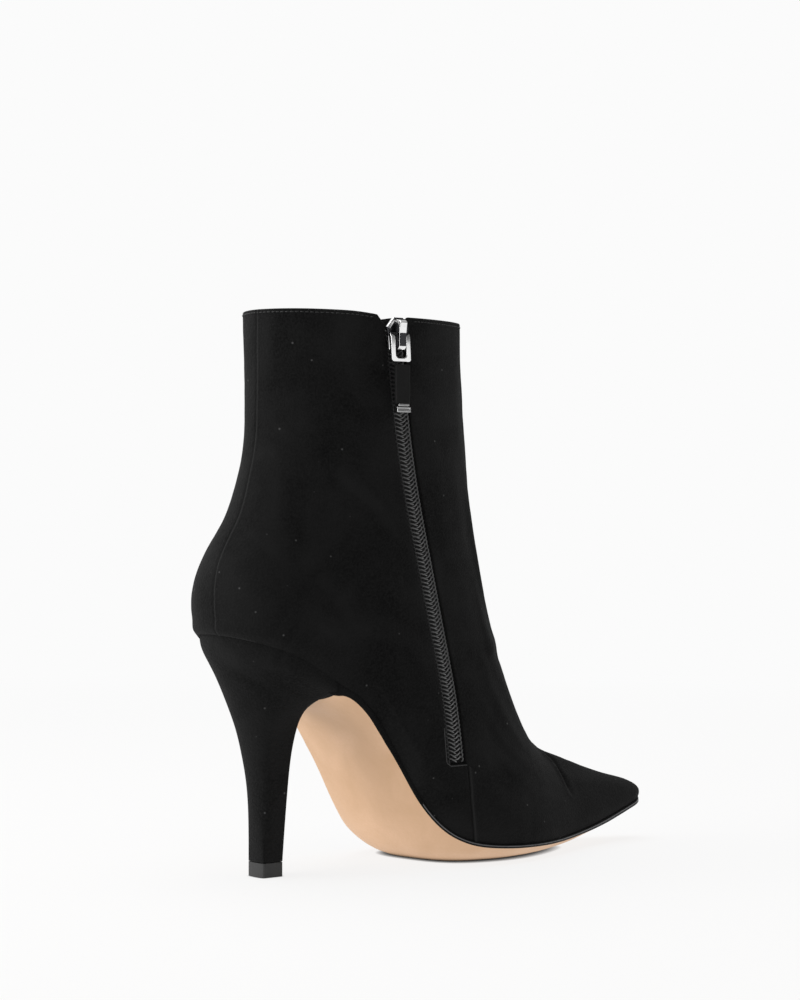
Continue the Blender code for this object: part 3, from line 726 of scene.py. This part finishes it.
def loft(loops):
    """Points and faces of a closed solid through loops of equally many points."""
    loops = np.asarray(loops, float)
    count, around = loops.shape[:2]
    last = (count - 1) * around
    faces = ring_faces(count, around)
    faces += [list(range(around)), list(range(last, last + around))]
    return loops.reshape(-1, 3), faces


def tube(line, normals, radius):
    """Points and faces of a round wire along a line, closed at both ends."""
    line = np.asarray(line, float)
    along = unit(np.gradient(line, axis=0))
    across = unit(np.cross(along, normals))
    upright = np.cross(across, along)
    angle = np.arange(WIRE_SIDES) * 2 * np.pi / WIRE_SIDES
    rings = (line[:, None] + radius * (np.cos(angle)[:, None] * across[:, None]
                                       + np.sin(angle)[:, None] * upright[:, None]))
    return loft(rings)


def joined(parts):
    """Points and faces of several meshes as one."""
    points, faces, first = [], [], 0
    for part_points, part_faces in parts:
        points.append(part_points)
        faces += [[i + first for i in face] for face in part_faces]
        first += len(part_points)
    return np.concatenate(points), faces


class Nodes:
    """A node tree, with helpers for the few nodes that its looks need."""

    def __init__(self, tree):
        self.tree = tree

    def feed(self, socket, value):
        """Set a socket's value, three numbers for a colour, or link another node's output to it."""
        if isinstance(value, bpy.types.NodeSocket):
            self.tree.links.new(value, socket)
        elif socket.type == "RGBA":
            socket.default_value = (*value, 1.0)
        else:
            socket.default_value = value

    def dressed(self, node, **sockets):
        """A node, with plain values or links on its named inputs."""
        for key, value in sockets.items():
            self.feed(node.inputs[key.replace("_", " ")], value)
        return node

    def node(self, kind, **sockets):
        """A new node, with plain values or links on its named inputs."""
        return self.dressed(self.tree.nodes.new("ShaderNode" + kind), **sockets)

    def ranged(self, value, low, high, to_low=0.0, to_high=1.0):
        """A value's stretch between low and high, spread to a new range."""
        made = self.node("MapRange", Value=value)
        for socket, number in zip(made.inputs[1:5], (low, high, to_low, to_high)):
            socket.default_value = number
        return made.outputs[0]

    def maths(self, operation, first, second, kind="Math"):
        """A sum, product, distance or the like of two values or vectors."""
        made = self.node(kind)
        made.operation = operation
        self.feed(made.inputs[0], first)
        self.feed(made.inputs[1], second)
        return made.outputs["Value"]

    def surface(self, output, share, first, second):
        """A mix of two shaders on an output node."""
        made = self.node("MixShader", Fac=share)
        self.feed(made.inputs[1], first)
        self.feed(made.inputs[2], second)
        self.feed(self.tree.nodes[output].inputs["Surface"], made.outputs[0])


class Finish(Nodes):
    """A Principled material."""

    def __init__(self, name, colour, roughness, **values):
        self.made = bpy.data.materials.new(name)
        self.made.use_nodes = True
        super().__init__(self.made.node_tree)
        self.shader = self.tree.nodes["Principled BSDF"]
        self.place = self.node("TexCoord").outputs["Object"]
        self.look(Base_Color=colour, Roughness=roughness, **values)

    def look(self, **sockets):
        """Set or link the shader's named inputs."""
        self.dressed(self.shader, **sockets)

    def noise(self, scale, detail=2.0, distortion=0.0):
        """Noise with a scale counted per metre."""
        made = self.node("TexNoise", Vector=self.place, Scale=scale, Detail=detail,
                         Distortion=distortion)
        return made.outputs["Fac"]

    def mixed(self, share, first, second):
        """A mix of two colours, each a colour or a link."""
        made = self.node("Mix")
        made.data_type = "RGBA"
        self.feed(made.inputs[0], share)
        self.feed(made.inputs[6], first)
        self.feed(made.inputs[7], second)
        return made.outputs[2]

    def bump(self, height, strength, distance):
        """Raise the surface by a height, with a distance in millimetres."""
        before = self.shader.inputs["Normal"].links
        made = self.node("Bump", Height=height, Strength=strength, Distance=distance * MM)
        if before:
            self.feed(made.inputs["Normal"], before[0].from_socket)
        self.look(Normal=made.outputs["Normal"])


def grey(value):
    """An even grey colour."""
    return (value, value, value)


def suede_finish():
    """Black suede: short nap in soft patches, painted light and painted highlights read from a point
    attribute, and a few specks of dust.
    """
    made = Finish("suede", grey(0.008), 0.95, Sheen_Weight=0.03, Sheen_Roughness=0.5,
                  Specular_IOR_Level=0.08)
    patches = made.ranged(made.noise(36.0, 4.0, 0.8), 0.36, 0.68)
    nap = made.ranged(made.noise(1300.0, 4.0), 0.35, 0.68)
    tone = made.mixed(patches, grey(0.0022), grey(0.0115))
    brushed = made.mixed(made.ranged(nap, 0.0, 1.0, 0.05, 0.7), tone, grey(0.0135))
    # Painted light: the suede is mixed towards a lighter grey at the toe, down the heel and on seam and
    # crease ridges
    worn = made.node("Attribute")
    worn.attribute_name = "painted_light"
    fibre_and_painted_light = made.mixed(worn.outputs["Fac"], brushed, grey(0.035))
    cells = made.node("TexVoronoi", Vector=made.place, Scale=190.0)
    speck = made.ranged(cells.outputs["Distance"], 0.05, 0.1, 1.0, 0.0)
    middle = [part * MM for part in DUST_PLACE]
    away = made.maths("DISTANCE", made.place, middle, "VectorMath")
    extra = made.ranged(away, DUST_REACH[0] * MM, DUST_REACH[1] * MM, DUST_EXTRA, 0.0)
    chosen = made.ranged(made.maths("ADD", cells.outputs["Color"], extra), 0.62, 0.64)
    dust = made.maths("MULTIPLY", speck, chosen)
    made.look(Base_Color=made.mixed(dust, fibre_and_painted_light, grey(0.07)))
    made.bump(nap, 0.5, 0.25)
    made.bump(made.noise(260.0, 3.0), 0.25, 0.35)
    return made.made


def leather_finish(name, dark, light, roughness, grain=900.0, depth=0.08, gloss=0.35):
    """Smooth leather with soft clouds of colour and a fine grain."""
    made = Finish(name, light, roughness, Specular_IOR_Level=gloss)
    clouds = made.ranged(made.noise(55.0, 4.0, 0.4), 0.3, 0.72)
    fine = made.noise(grain, 5.0)
    tone = made.mixed(clouds, dark, light)
    shade = made.ranged(fine, 0.25, 0.75, 0.0, 0.35)
    made.look(Base_Color=made.mixed(shade, tone, dark),
              Roughness=made.ranged(fine, 0.2, 0.8, roughness - 0.08, roughness + 0.1))
    made.bump(fine, 0.35, depth)
    return made.made


def weave_finish(name, colour, lines):
    """Woven fabric: threads across and along, counted per metre."""
    made = Finish(name, colour, 0.85, Sheen_Weight=0.1)
    heights = []
    for direction in ("X", "Z"):
        wave = made.node("TexWave", Vector=made.place, Scale=lines / 2, Distortion=0.4)
        wave.bands_direction = direction
        heights.append(wave.outputs["Fac"])
    both = made.maths("MULTIPLY", *heights)
    low = [0.5 * part for part in colour]
    made.look(Base_Color=made.mixed(both, low, colour))
    made.bump(both, 0.6, 0.2)
    return made.made


def gloss_finish(name, colour, roughness, metallic=0.0, marks=0.06, scale=300.0, **values):
    """Hard smooth material with faint uneven gloss."""
    made = Finish(name, colour, roughness, Metallic=metallic, **values)
    cloud = made.noise(scale, 4.0)
    dark = [0.82 * part for part in colour]
    made.look(Base_Color=made.mixed(made.ranged(cloud, 0.3, 0.7), dark, colour),
              Roughness=made.ranged(cloud, 0.3, 0.7, max(0.02, roughness - marks), roughness + marks))
    made.bump(cloud, 0.1, 0.05)
    return made.made


def make_finishes():
    """All materials of the boot, by name."""
    return {
        "suede": suede_finish(),
        "sole": leather_finish("sole_leather", (0.65, 0.405, 0.235), (0.75, 0.485, 0.305), 0.5),
        "edge": gloss_finish("edge_ink", grey(0.005), 0.5, Specular_IOR_Level=0.15),
        # Painted highlight for a strip of the sole's black edge
        "edge_painted_highlight": gloss_finish("edge_painted_highlight", (0.15, 0.15, 0.155), 0.3, marks=0.15, scale=160.0),
        "lining": leather_finish("lining_leather", (0.40, 0.28, 0.19), (0.52, 0.38, 0.27), 0.55),
        "insole": leather_finish("insole_leather", (0.40, 0.28, 0.19), (0.50, 0.36, 0.25), 0.5),
        "tip": gloss_finish("top_piece", grey(0.062), 0.7, marks=0.1, Specular_IOR_Level=0.15),
        "tape": weave_finish("zip_tape", grey(0.008), 2600.0),
        "coil": gloss_finish("zip_coil", grey(0.15), 0.25),
        # Darker copy of the coil's finish, painted shade below the puller
        "coil_painted_shade": gloss_finish("zip_coil_painted_shade", grey(0.04), 0.4),
        "thread": gloss_finish("thread", grey(0.03), 0.45),
        "stitch": gloss_finish("stitch_thread", grey(0.012), 0.6),
        "cord": gloss_finish("zip_cord", grey(0.13), 0.4),
        "metal": gloss_finish("silver_metal", grey(0.95), 0.1, 1.0, 0.04),
        "satin_metal": gloss_finish("silver_metal_satin", grey(0.3), 0.4, 1.0, 0.15, 1500.0),
        # Darker metal for painted reflection and painted shade
        "metal_painted_shade_reflection": gloss_finish("silver_metal_painted_shade_reflection", (0.06, 0.06, 0.065), 0.25, 1.0, 0.1, 900.0),
        "tab": leather_finish("tab_leather", grey(0.003), grey(0.006), 0.65, 1400.0, gloss=0.24),
    }


def rim_loop(top, around, low, toe, heel):
    """Row and column of each point around the collar, down one edge of the slot and up the other."""
    loop = [(top, (heel + step) % around) for step in range(around - heel + toe + 1)]
    loop += [(row, toe) for row in range(top - 1, low - 1, -1)]
    loop += [(low, column) for column in range(toe + 1, heel + 1)]
    loop += [(row, heel) for row in range(low + 1, top)]
    return np.array(loop)


def wall_shell(skin, depths, rows, columns, slot):
    """A closed layer of the wall between two depths, with rounded edges at collar and slot.

    The slot is given as its lowest row, and its columns on the toe's and the heel's side.
    """
    points = skin.points[np.ix_(rows, columns)]
    normals = skin.normals[np.ix_(rows, columns)]
    count, around = points.shape[:2]
    low, toe, heel = rows.index(slot[0]), columns.index(slot[1]), columns.index(slot[2])
    outer = (points - depths[0] * normals).reshape(-1, 3)
    inner = (points - depths[1] * normals).reshape(-1, 3)
    quads = np.array(ring_faces(count, around))
    place = np.arange((count - 1) * around)
    in_slot = (place // around >= low) & (place % around >= toe) & (place % around < heel)
    quads = quads[~in_slot]
    size = count * around
    bottom = np.arange(around)
    after = np.roll(bottom, -1)
    faces = quads.tolist() + (quads + size).tolist()
    faces += np.stack([bottom, after, after + size, bottom + size], axis=1).tolist()
    loop = rim_loop(count - 1, around, low, toe, heel)
    edge = loop[:, 0] * around + loop[:, 1]
    middle = (outer[edge] + inner[edge]) / 2
    edge_normals = normals.reshape(-1, 3)[edge]
    along = np.roll(middle, -1, axis=0) - np.roll(middle, 1, axis=0)
    away = unit(np.cross(edge_normals, along))
    if away[0, 2] < 0:
        away = -away
    half = (depths[1] - depths[0]) / 2
    rim = []
    for angle in np.radians(RIM_ANGLES):
        rim.append(middle + half * (np.cos(angle) * edge_normals + np.sin(angle) * away))
    steps = [edge] + [2 * size + k * len(edge) + np.arange(len(edge)) for k in range(len(rim))]
    steps.append(edge + size)
    for first, second in zip(steps, steps[1:]):
        quad = np.stack([first, np.roll(first, -1), np.roll(second, -1), second], axis=1)
        faces += quad.tolist()
    return np.concatenate([outer, inner, *rim]), faces


def add_suede(skin):
    """The upper's suede wall."""
    slot = skin.open_row, TOE_COLUMN, HEEL_COLUMN
    shell = wall_shell(skin, SUEDE_DEPTHS, list(range(ROWS)), list(range(skin.around)), slot)
    painted_light = np.zeros(len(shell[0]))
    painted_light[:skin.painted_light.size] = skin.painted_light.ravel()
    add_mesh("upper_suede", shell, ["suede"], ["upper"], sharp=WALL_SHARP, painted_light=painted_light)


def add_lining(skin):
    """The upper's leather lining, a little back from collar and slot."""
    slot = skin.open_row - LINING_BELOW, TOE_COLUMN - LINING_ASIDE[0], HEEL_COLUMN + LINING_ASIDE[1]
    top = ROWS - LINING_BELOW
    rows = sorted({*range(0, top, LINING_STEP), slot[0], top})
    columns = sorted({*range(0, skin.around, LINING_STEP), *slot[1:]})
    shell = wall_shell(skin, LINING_DEPTHS, rows, columns, slot)
    add_mesh("upper_lining", shell, ["lining"], sharp=WALL_SHARP)


def add_piping(skin):
    """Piping down the slot's heel edge and along its lower end."""
    rows = np.arange(skin.open_row + PIPING_ROWS, skin.open_row, -1)
    columns = np.arange(HEEL_COLUMN, TOE_COLUMN, -1)
    path = [(row, HEEL_COLUMN) for row in rows] + [(skin.open_row, column) for column in columns]
    row, column = np.array(path).T
    normals = skin.normals[row, column]
    line = skin.points[row, column] - PIPING_SINK * normals
    add_mesh("slot_piping", tube(line, normals, PIPING_WIRE), ["thread"])


def stitch_row(line, normals):
    """Stitches laid along a line of points on the skin."""
    travel = travelled(line)
    shares, lift = np.array(STITCH_RUN).T
    parts = []
    for middle in np.arange(STITCH_PITCH, travel[-1] - STITCH_PITCH, STITCH_PITCH):
        places = middle + shares * STITCH_LENGTH
        up = between(places, travel, normals)
        parts.append(tube(between(places, travel, line) + lift[:, None] * up, up, STITCH_WIRE))
    return parts


def add_stitches(skin):
    """Thread below the collar."""
    top = skin.points[-1] - skin.points[-1 - COLLAR_ROWS]
    row = ROWS - 1 - COLLAR_STITCH / (np.linalg.norm(top, axis=1).mean() / COLLAR_ROWS)
    low, share = int(row), row % 1
    columns = np.arange(HEEL_COLUMN + 1, TOE_COLUMN + skin.around - 1) % skin.around
    line, normals = (grid[low, columns] * (1 - share) + grid[low + 1, columns] * share
                     for grid in (skin.points, skin.normals))
    add_mesh("upper_stitches", joined(stitch_row(line, normals)), ["stitch"])


def sole_section(x):
    """One cross-section of the leather sole: flat top, black edge, rounded underside."""
    half = half_width(FEATHER, x) + np.interp(x, *LIP_GROWTH)
    middle = middle_line(x)
    whole_edge = sole_value("edge", x) + GAP
    edge = np.interp(x, *zip(*SOLE_EDGE)) * whole_edge
    crown = sole_value("crown", x) + whole_edge - edge + np.interp(x, *SOLE_DEEP)
    crown = crown * np.interp(x, *CROWN_FADE)
    sides = []
    for side in (1, -1):
        top = feather_z(x, side) + TOUCH
        sides.append([(x, middle + side * (half + aside), max(0.0, top - part * edge))
                      for aside, part in SOLE_SIDE])
    inside = half + SOLE_SIDE[0][0] - SOLE_TOP_INSET
    loop = [(x, middle + side * inside, feather_z(x, side) + TOUCH) for side in SOLE_TOP] + sides[0]
    for side in np.linspace(1, -1, SOLE_ACROSS):
        under = feather_z(x, side) - edge - crown * (1 - abs(side) ** CROWN_POWER)
        loop.append((x, middle + side * half, max(0.0, under)))
    return loop + sides[1][::-1]


def add_sole():
    """The leather sole: tan below, with a black edge that has a painted highlight along one face."""
    start, end = SOLE_START, TOE_TIP + SOLE_LIP / 2
    share = np.sin(np.linspace(0, np.pi / 2, SOLE_STATIONS))
    points, faces = loft([sole_section(x) for x in start + share * (end - start)])
    around = len(points) // SOLE_STATIONS
    under = len(SOLE_TOP) + len(SOLE_SIDE)
    station, spot = np.divmod(np.arange((SOLE_STATIONS - 1) * around), around)
    is_edge = (spot < under) | (spot >= under + SOLE_ACROSS - 1)
    # Painted highlight: one face of the edge's profile on each side takes a lighter grey
    painted_highlight_faces = (spot == len(SOLE_TOP) + HIGHLIGHT_FACE) | (spot == around - 2 - HIGHLIGHT_FACE)
    place = points[station * around + spot, 0]
    edge = np.where(place < COVERED_EDGE, COVER, np.where(painted_highlight_faces, PAINTED_HIGHLIGHT, INK))
    looks = np.where(is_edge, edge, np.where(place < TAN_START, COVER, TAN))
    ends = [COVER, INK]
    add_mesh("sole", (points, faces), SOLE_FINISHES, ["outsole"], [*looks, *ends])


def add_insole():
    """The insole, which shows inside the boot."""
    loops = []
    for x in np.linspace(SEAT_BACK + INSOLE_ENDS[0], TOE_TIP - INSOLE_ENDS[1], INSOLE_STATIONS):
        lean = half_width(FEATHER, x + 0.5) - half_width(FEATHER, x - 0.5)
        half = half_width(FEATHER, x) - INSOLE_INSET * math.hypot(1.0, lean)
        low = [(x, middle_line(x) + side * half, feather_z(x, side) + GAP) for side in INSOLE_ACROSS]
        high = []
        for (_, y, z), side in zip(low, INSOLE_ACROSS):
            outer = max(0.0, abs(side) - INSOLE_EDGE_START) / (1 - INSOLE_EDGE_START)
            high.append((x, y, z + INSOLE_THICK - INSOLE_EDGE * outer))
        loops.append(low + high[::-1])
    add_mesh("insole_sock", loft(loops), ["insole"], ["insole"])


def heel_loop(part):
    """One slice of the heel."""
    share, side = turns(HEEL_POINTS)
    x = part.back_x + share * (part.front_x - part.back_x)
    rounding = round_end(x - part.back_x, part.back_cap) * round_end(part.front_x - x, part.front_cap)
    z = part.back_z + share * (part.front_z - part.back_z)
    return np.stack([x, side * part.half * rounding, z], axis=1)


def seat_loop():
    """The heel's top, which carries the seat of the upper."""
    share, side = turns(HEEL_POINTS)
    x = SEAT_BACK + share * (BREAST - SEAT_BACK)
    half = half_width(FEATHER, x) * round_end(BREAST - x, HEEL_SLICES[-1].front_cap)
    x = x + HEEL_TUCK * (1 - share)
    half = np.maximum(0, half - HEEL_TUCK)
    return np.stack([x, side * half, feather_z(x, side) + TOUCH], axis=1)


def add_heel():
    """The covered stiletto heel."""
    loops = [heel_loop(part) for part in HEEL_SLICES] + [seat_loop()]
    rows = np.linspace(0, len(loops) - 1, HEEL_ROWS)
    shape = loft(spline(np.arange(len(loops)), np.stack(loops), rows))
    # Painted light: the heel's suede is lighter towards its foot
    painted_light = painted_light_share(shape[0][:, 2], HEEL_PAINTED_LIGHT)
    add_mesh("heel_cover", shape, ["suede"], ["heel"], sharp=HEEL_SHARP, painted_light=painted_light)


def add_bevel(piece, width, segments, angle):
    """Round the edges of a piece where it turns by more than an angle."""
    bevel = piece.modifiers.new("edge_round", "BEVEL")
    bevel.width = width * MM
    bevel.segments = segments
    bevel.limit_method = "ANGLE"
    bevel.angle_limit = math.radians(angle)


def dress_tip():
    """Round the edges of the heel's top piece, which stays as it is, and give it its finish."""
    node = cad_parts["heel_tip"]
    node.data.materials.clear()
    node.data.materials.append(finishes["tip"])
    node.modifiers.new("weld", "WELD").merge_threshold = WELD_REACH * MM
    add_bevel(node, TIP_ROUND, 3, TIP_ROUND_ANGLE)


def zip_spot(skin, z, aside, up, depth):
    """A point of the zip, given beside its path, up along it and below the skin."""
    x, height = zip_offset(z + up, aside)
    return skin.at_depth(x, min(height, SKIN_TOP), depth)


def add_tape(skin):
    """The zip's woven tape."""
    loops = []
    for z in np.linspace(TAPE_END, SKIN_TOP, TAPE_STATIONS):
        outer, inner = ([zip_spot(skin, z, aside, 0.0, depth) for aside in TAPE_ACROSS]
                        for depth in TAPE_DEPTHS)
        loops.append(outer + inner[::-1])
    add_mesh("zip_tape_woven", loft(loops), ["tape"], ["zip_tape"])


def add_wires(name, skin, run, start, radius, looks, replaced, is_second):
    """A piece of short wires beside each other up both sides of the zip, in one of two looks."""
    wires, second = [], []
    for side in (-1, 1):
        low = COIL_LOW + (COIL_PITCH / 2 if side > 0 else 0.0)
        for z in np.arange(low, ZIP_TOP - 2 * COIL_PITCH, COIL_PITCH):
            line = [zip_spot(skin, z, side * (start + aside), up, depth) for aside, up, depth in run]
            wires.append(tube(line, (0.0, -1.0, 0.0), radius))
            second += [int(is_second(side, z))] * len(wires[-1][1])
    add_mesh(name, joined(wires), looks, replaced, second)


def add_zip(skin):
    """The zip: tape, two rows of coil with painted shade below the puller, and a cord sewn beside each
    row, with painted shade on the heel's side.
    """
    add_tape(skin)
    # Painted shade: coil above the puller's height takes a darker finish
    add_wires("zip_coil_teeth", skin, COIL_RUN, 0.0, COIL_WIRE, ["coil", "coil_painted_shade"],
              ["zip_coil"], lambda side, z: z > COIL_PAINTED_SHADE)
    # Painted shade: cords on the heel's side take the dark thread finish, those on the toe's side the
    # lighter cord finish
    add_wires("zip_cords", skin, CORD_RUN, CORD_ASIDE, CORD_WIRE, ["cord", "thread"],
              (), lambda side, z: side < 0)


def slider_frame(skin):
    """The slider's place on the skin, and how far the skin leans there."""
    x = float(zip_x(SLIDER_Z))
    place = Vector((x, skin.inner_side_y(x, SLIDER_Z), SLIDER_Z))
    lean = math.atan(skin.slopes(x, SLIDER_Z)[1])
    return place, lean


def off_skin(place, lean, aside, up, height):
    """A point given across the zip, up along it and above the skin."""
    return (place.x + aside,
            place.y + up * math.sin(lean) - height * math.cos(lean),
            place.z + up * math.cos(lean) + height * math.sin(lean))


def round_edges(piece, width, segments=3, angle=30):
    """Round a piece's sharp edges and keep its faces flat."""
    add_bevel(piece, width, segments, angle)
    piece.modifiers.new("flat_faces", "WEIGHTED_NORMAL").keep_sharp = True


def add_plate(place, lean):
    """The slider's shield plate."""
    layers = [[off_skin(place, lean, aside * scale, up * scale, height) for aside, up in PLATE_OUTLINE]
              for height, scale in PLATE_LAYERS]
    points, faces = loft(layers)
    # Painted reflection: the listed faces and the top take the darker metal
    dark = np.isin(np.arange(len(faces)) % len(PLATE_OUTLINE), PLATE_PAINTED_REFLECTION).astype(int)
    dark[-1] = 1
    plate = add_mesh("slider_plate", (points, faces), ["metal", "metal_painted_shade_reflection"],
                     ["zip_slider"], dark)
    round_edges(plate, PLATE_ROUND)


def add_bridge(place, lean):
    """The bridge on the plate, which holds the puller."""
    sides = [[off_skin(place, lean, aside, up, height) for up, height in BRIDGE_PROFILE]
             for aside in (-BRIDGE_WIDTH / 2, BRIDGE_WIDTH / 2)]
    points, faces = loft(sides)
    # Painted reflection: one face of the bridge takes the darker metal
    dark = np.zeros(len(faces), int)
    dark[list(BRIDGE_PAINTED_REFLECTION)] = 1
    bridge = add_mesh("slider_bridge", (points, faces), ["metal", "metal_painted_shade_reflection"], (), dark)
    round_edges(bridge, BRIDGE_ROUND)


def rounded_frame(half, top, bottom, corners):
    """Outline of an upright rectangle with rounded corners and a shoulder, as (aside, up)."""
    outline = []
    places = ((half, top), (-half, top), (-half, bottom), (half, bottom))
    for quarter, ((aside, up), corner) in enumerate(zip(places, corners)):
        middle_aside = aside - math.copysign(corner, aside)
        middle_up = up - corner if up == top else up + corner
        for step in range(RING_STEPS + 1):
            angle = (quarter + step / RING_STEPS) * math.pi / 2
            outline.append((middle_aside + corner * math.cos(angle), middle_up + corner * math.sin(angle)))
        if quarter % 2:
            outline.append((aside, RING_SHOULDER))
    return outline


def add_ring(pivot):
    """The puller's wire frame: flat arms that lean a little, and a bar under the bridge in painted shade,
    a darker metal.
    """
    outer, inner = rounded_frame(*RING_OUTER), rounded_frame(*RING_INNER)
    loops = []
    for outline, front in ((outer, True), (outer, False), (inner, False), (inner, True)):
        loop = []
        for aside, up in outline:
            across = aside + RING_LEAN[0] + RING_LEAN[1] * up
            depth = -np.interp(up, *RING_FRONT) if front else RING_BACK
            loop.append((pivot.x + across, pivot.y + depth, pivot.z + up))
        loops.append(loop)
    points = np.concatenate(loops)
    around = len(outer)
    faces = ring_faces(len(loops), around)
    last = (len(loops) - 1) * around
    for k in range(around):
        after = (k + 1) % around
        faces.append([last + k, k, after, last + after])
    # Painted shade: the faces of the top bar under the bridge take the darker metal
    dark = [int(points[face, 2].min() > pivot.z + RING_PAINTED_SHADE) for face in faces]
    ring = add_mesh("puller_ring", (points, faces), ["metal", "metal_painted_shade_reflection"],
                    ["pull_ring"], dark, "zip_pull")
    round_edges(ring, RING_ROUND)


def block(pivot, width, top, drop, half_thick, rim=0.0):
    """Points and faces of a flat block that hangs below the pivot, with sunk faces inside a rim."""
    loops = []
    for inset, depth in ((rim, -half_thick + rim / 2), (rim, -half_thick), (0.0, -half_thick),
                         (0.0, half_thick), (rim, half_thick), (rim, half_thick - rim / 2)):
        half = width / 2 - inset
        left, right = pivot.x + TAB_ASIDE - half, pivot.x + TAB_ASIDE + half
        low, high = pivot.z + top - drop + inset, pivot.z + top - inset
        outline = ((left, low), (right, low), (right, high), (left, high))
        loops.append([(x, pivot.y + depth, z) for x, z in outline])
    return loft(loops if rim else loops[2:4])


def add_tab(pivot):
    """The puller's leather tab."""
    shape = block(pivot, TAB_WIDTH, TAB_TOP, TAB_DROP, TAB_HALF_THICK)
    tab = add_mesh("puller_tab", shape, ["tab"], ["pull_tab"], body="zip_pull")
    round_edges(tab, TAB_ROUND, 4)


def add_end(pivot):
    """The tab's metal end, a bar and a box with satin faces, and the leather between them."""
    top = TAB_TOP - TAB_DROP
    bar_width, bar_drop = END_BAR
    box_drop = END_DROP - bar_drop - END_SLIT
    bar = block(pivot, bar_width, top, bar_drop, END_HALF_THICK)
    box = block(pivot, END_WIDTH, top - bar_drop - END_SLIT, box_drop, END_HALF_THICK, END_RIM)
    points, faces = joined([bar, box])
    satin = np.zeros(len(faces), int)
    satin[-2:] = 1
    end = add_mesh("puller_end", (points, faces), ["metal", "satin_metal"],
                   ["pull_end"], satin, "zip_pull")
    round_edges(end, END_ROUND, 2)
    aside, up = WEB_INSET
    web = block(pivot, bar_width - 2 * aside, top - up, END_DROP - 2 * up, TAB_HALF_THICK / 2)
    add_mesh("puller_web", web, ["tab"], body="zip_pull")


def add_slider(skin):
    """The slider, and the puller that hangs from it."""
    place, lean = slider_frame(skin)
    add_plate(place, lean)
    add_bridge(place, lean)
    pivot = Vector(off_skin(place, lean, 0.0, 0.0, PIVOT_HEIGHT))
    add_ring(pivot)
    add_tab(pivot)
    add_end(pivot)


def add_floor():
    """A pale floor that takes faint shadows near the boot, with a contact shadow painted into its glow,
    and fades into the even background.
    """
    made = Finish("floor", (0.88, 0.87, 0.86), 0.9, Specular_IOR_Level=0.1)
    mesh = bpy.data.meshes.new("floor")
    half = FLOOR_HALF * MM
    corners = [(-half, -half, 0), (half, -half, 0), (half, half, 0), (-half, half, 0)]
    mesh.from_pydata(corners, [], [(0, 1, 2, 3)])
    mesh.materials.append(made.made)
    floor = bpy.data.objects.new("floor", mesh)
    bpy.context.scene.collection.objects.link(floor)
    distance = made.maths("DISTANCE", made.place, (0.0, 0.0, 0.0), "VectorMath")
    away = made.ranged(distance, FLOOR_FADE[0] * MM, FLOOR_FADE[1] * MM, FLOOR_GLOW, 1.0)
    # Painted contact shadow: ambient occlusion darkens the floor's glow close to the boot
    contact = made.node("AmbientOcclusion", Distance=CONTACT * MM)
    level = made.ranged(contact.outputs["AO"], 0.0, CONTACT_OPEN, 0.0, BACKGROUND)
    plain = made.node("Emission", Color=grey(1.0), Strength=level)
    made.surface("Material Output", away, made.shader.outputs["BSDF"], plain.outputs["Emission"])


def add_world():
    """Soft studio light, less of it from the camera's side and right, before a white background."""
    world = bpy.data.worlds.new("studio")
    bpy.context.scene.world = world
    world.use_nodes = True
    nodes = Nodes(world.node_tree)
    shown = nodes.dressed(nodes.tree.nodes["Background"], Color=grey(1.0), Strength=BACKGROUND)
    place = nodes.node("TexCoord").outputs["Generated"]
    turn = math.radians(CAMERA_TURN)
    levels = []
    for direction, spread in (((-math.sin(turn), -math.cos(turn), 0.0), CAMERA_SIDE),
                              ((-math.cos(turn), math.sin(turn), LEFT_RISE), LEFT_SIDE)):
        toward = nodes.maths("DOT_PRODUCT", place, direction, "VectorMath")
        levels.append(nodes.ranged(toward, *spread))
    light = nodes.node("Background", Strength=nodes.maths("MULTIPLY", *levels))
    seen = nodes.node("LightPath").outputs["Is Camera Ray"]
    nodes.surface("World Output", seen, light.outputs[0], shown.outputs[0])


def add_lamp(name, place, size, power):
    """A soft square light that faces the boot."""
    data = bpy.data.lights.new(name, "AREA")
    data.size = size * MM
    data.energy = power
    made = bpy.data.objects.new(name, data)
    made.location = Vector(place) * MM
    aim = Vector(LAMP_AIM) * MM
    made.rotation_euler = (aim - made.location).to_track_quat("-Z", "Y").to_euler()
    bpy.context.scene.collection.objects.link(made)


def add_camera():
    """The camera of the photo: level, off the boot's inner back corner."""
    data = bpy.data.cameras.new("camera")
    data.lens = CAMERA_LENS
    data.sensor_width = SENSOR
    camera = bpy.data.objects.new("camera", data)
    camera.location = Vector(CAMERA_PLACE) * MM
    camera.rotation_euler = (math.radians(90), 0.0, math.radians(-CAMERA_TURN))
    bpy.context.scene.collection.objects.link(camera)
    bpy.context.scene.camera = camera


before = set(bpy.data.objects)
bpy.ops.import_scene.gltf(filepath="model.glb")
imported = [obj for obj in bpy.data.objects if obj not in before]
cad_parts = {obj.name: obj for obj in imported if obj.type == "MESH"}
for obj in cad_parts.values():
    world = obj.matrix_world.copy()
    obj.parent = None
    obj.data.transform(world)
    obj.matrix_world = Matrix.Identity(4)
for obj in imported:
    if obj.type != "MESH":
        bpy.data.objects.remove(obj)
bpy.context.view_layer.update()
bpy.context.scene.view_settings.view_transform = "Standard"
add_camera()
add_world()
add_floor()
for name, lamp in LAMPS.items():
    add_lamp(name, *lamp)
finishes = make_finishes()
skin = Skin()
add_suede(skin)
add_lining(skin)
add_piping(skin)
add_stitches(skin)
add_sole()
add_insole()
add_heel()
dress_tip()
add_zip(skin)
add_slider(skin)
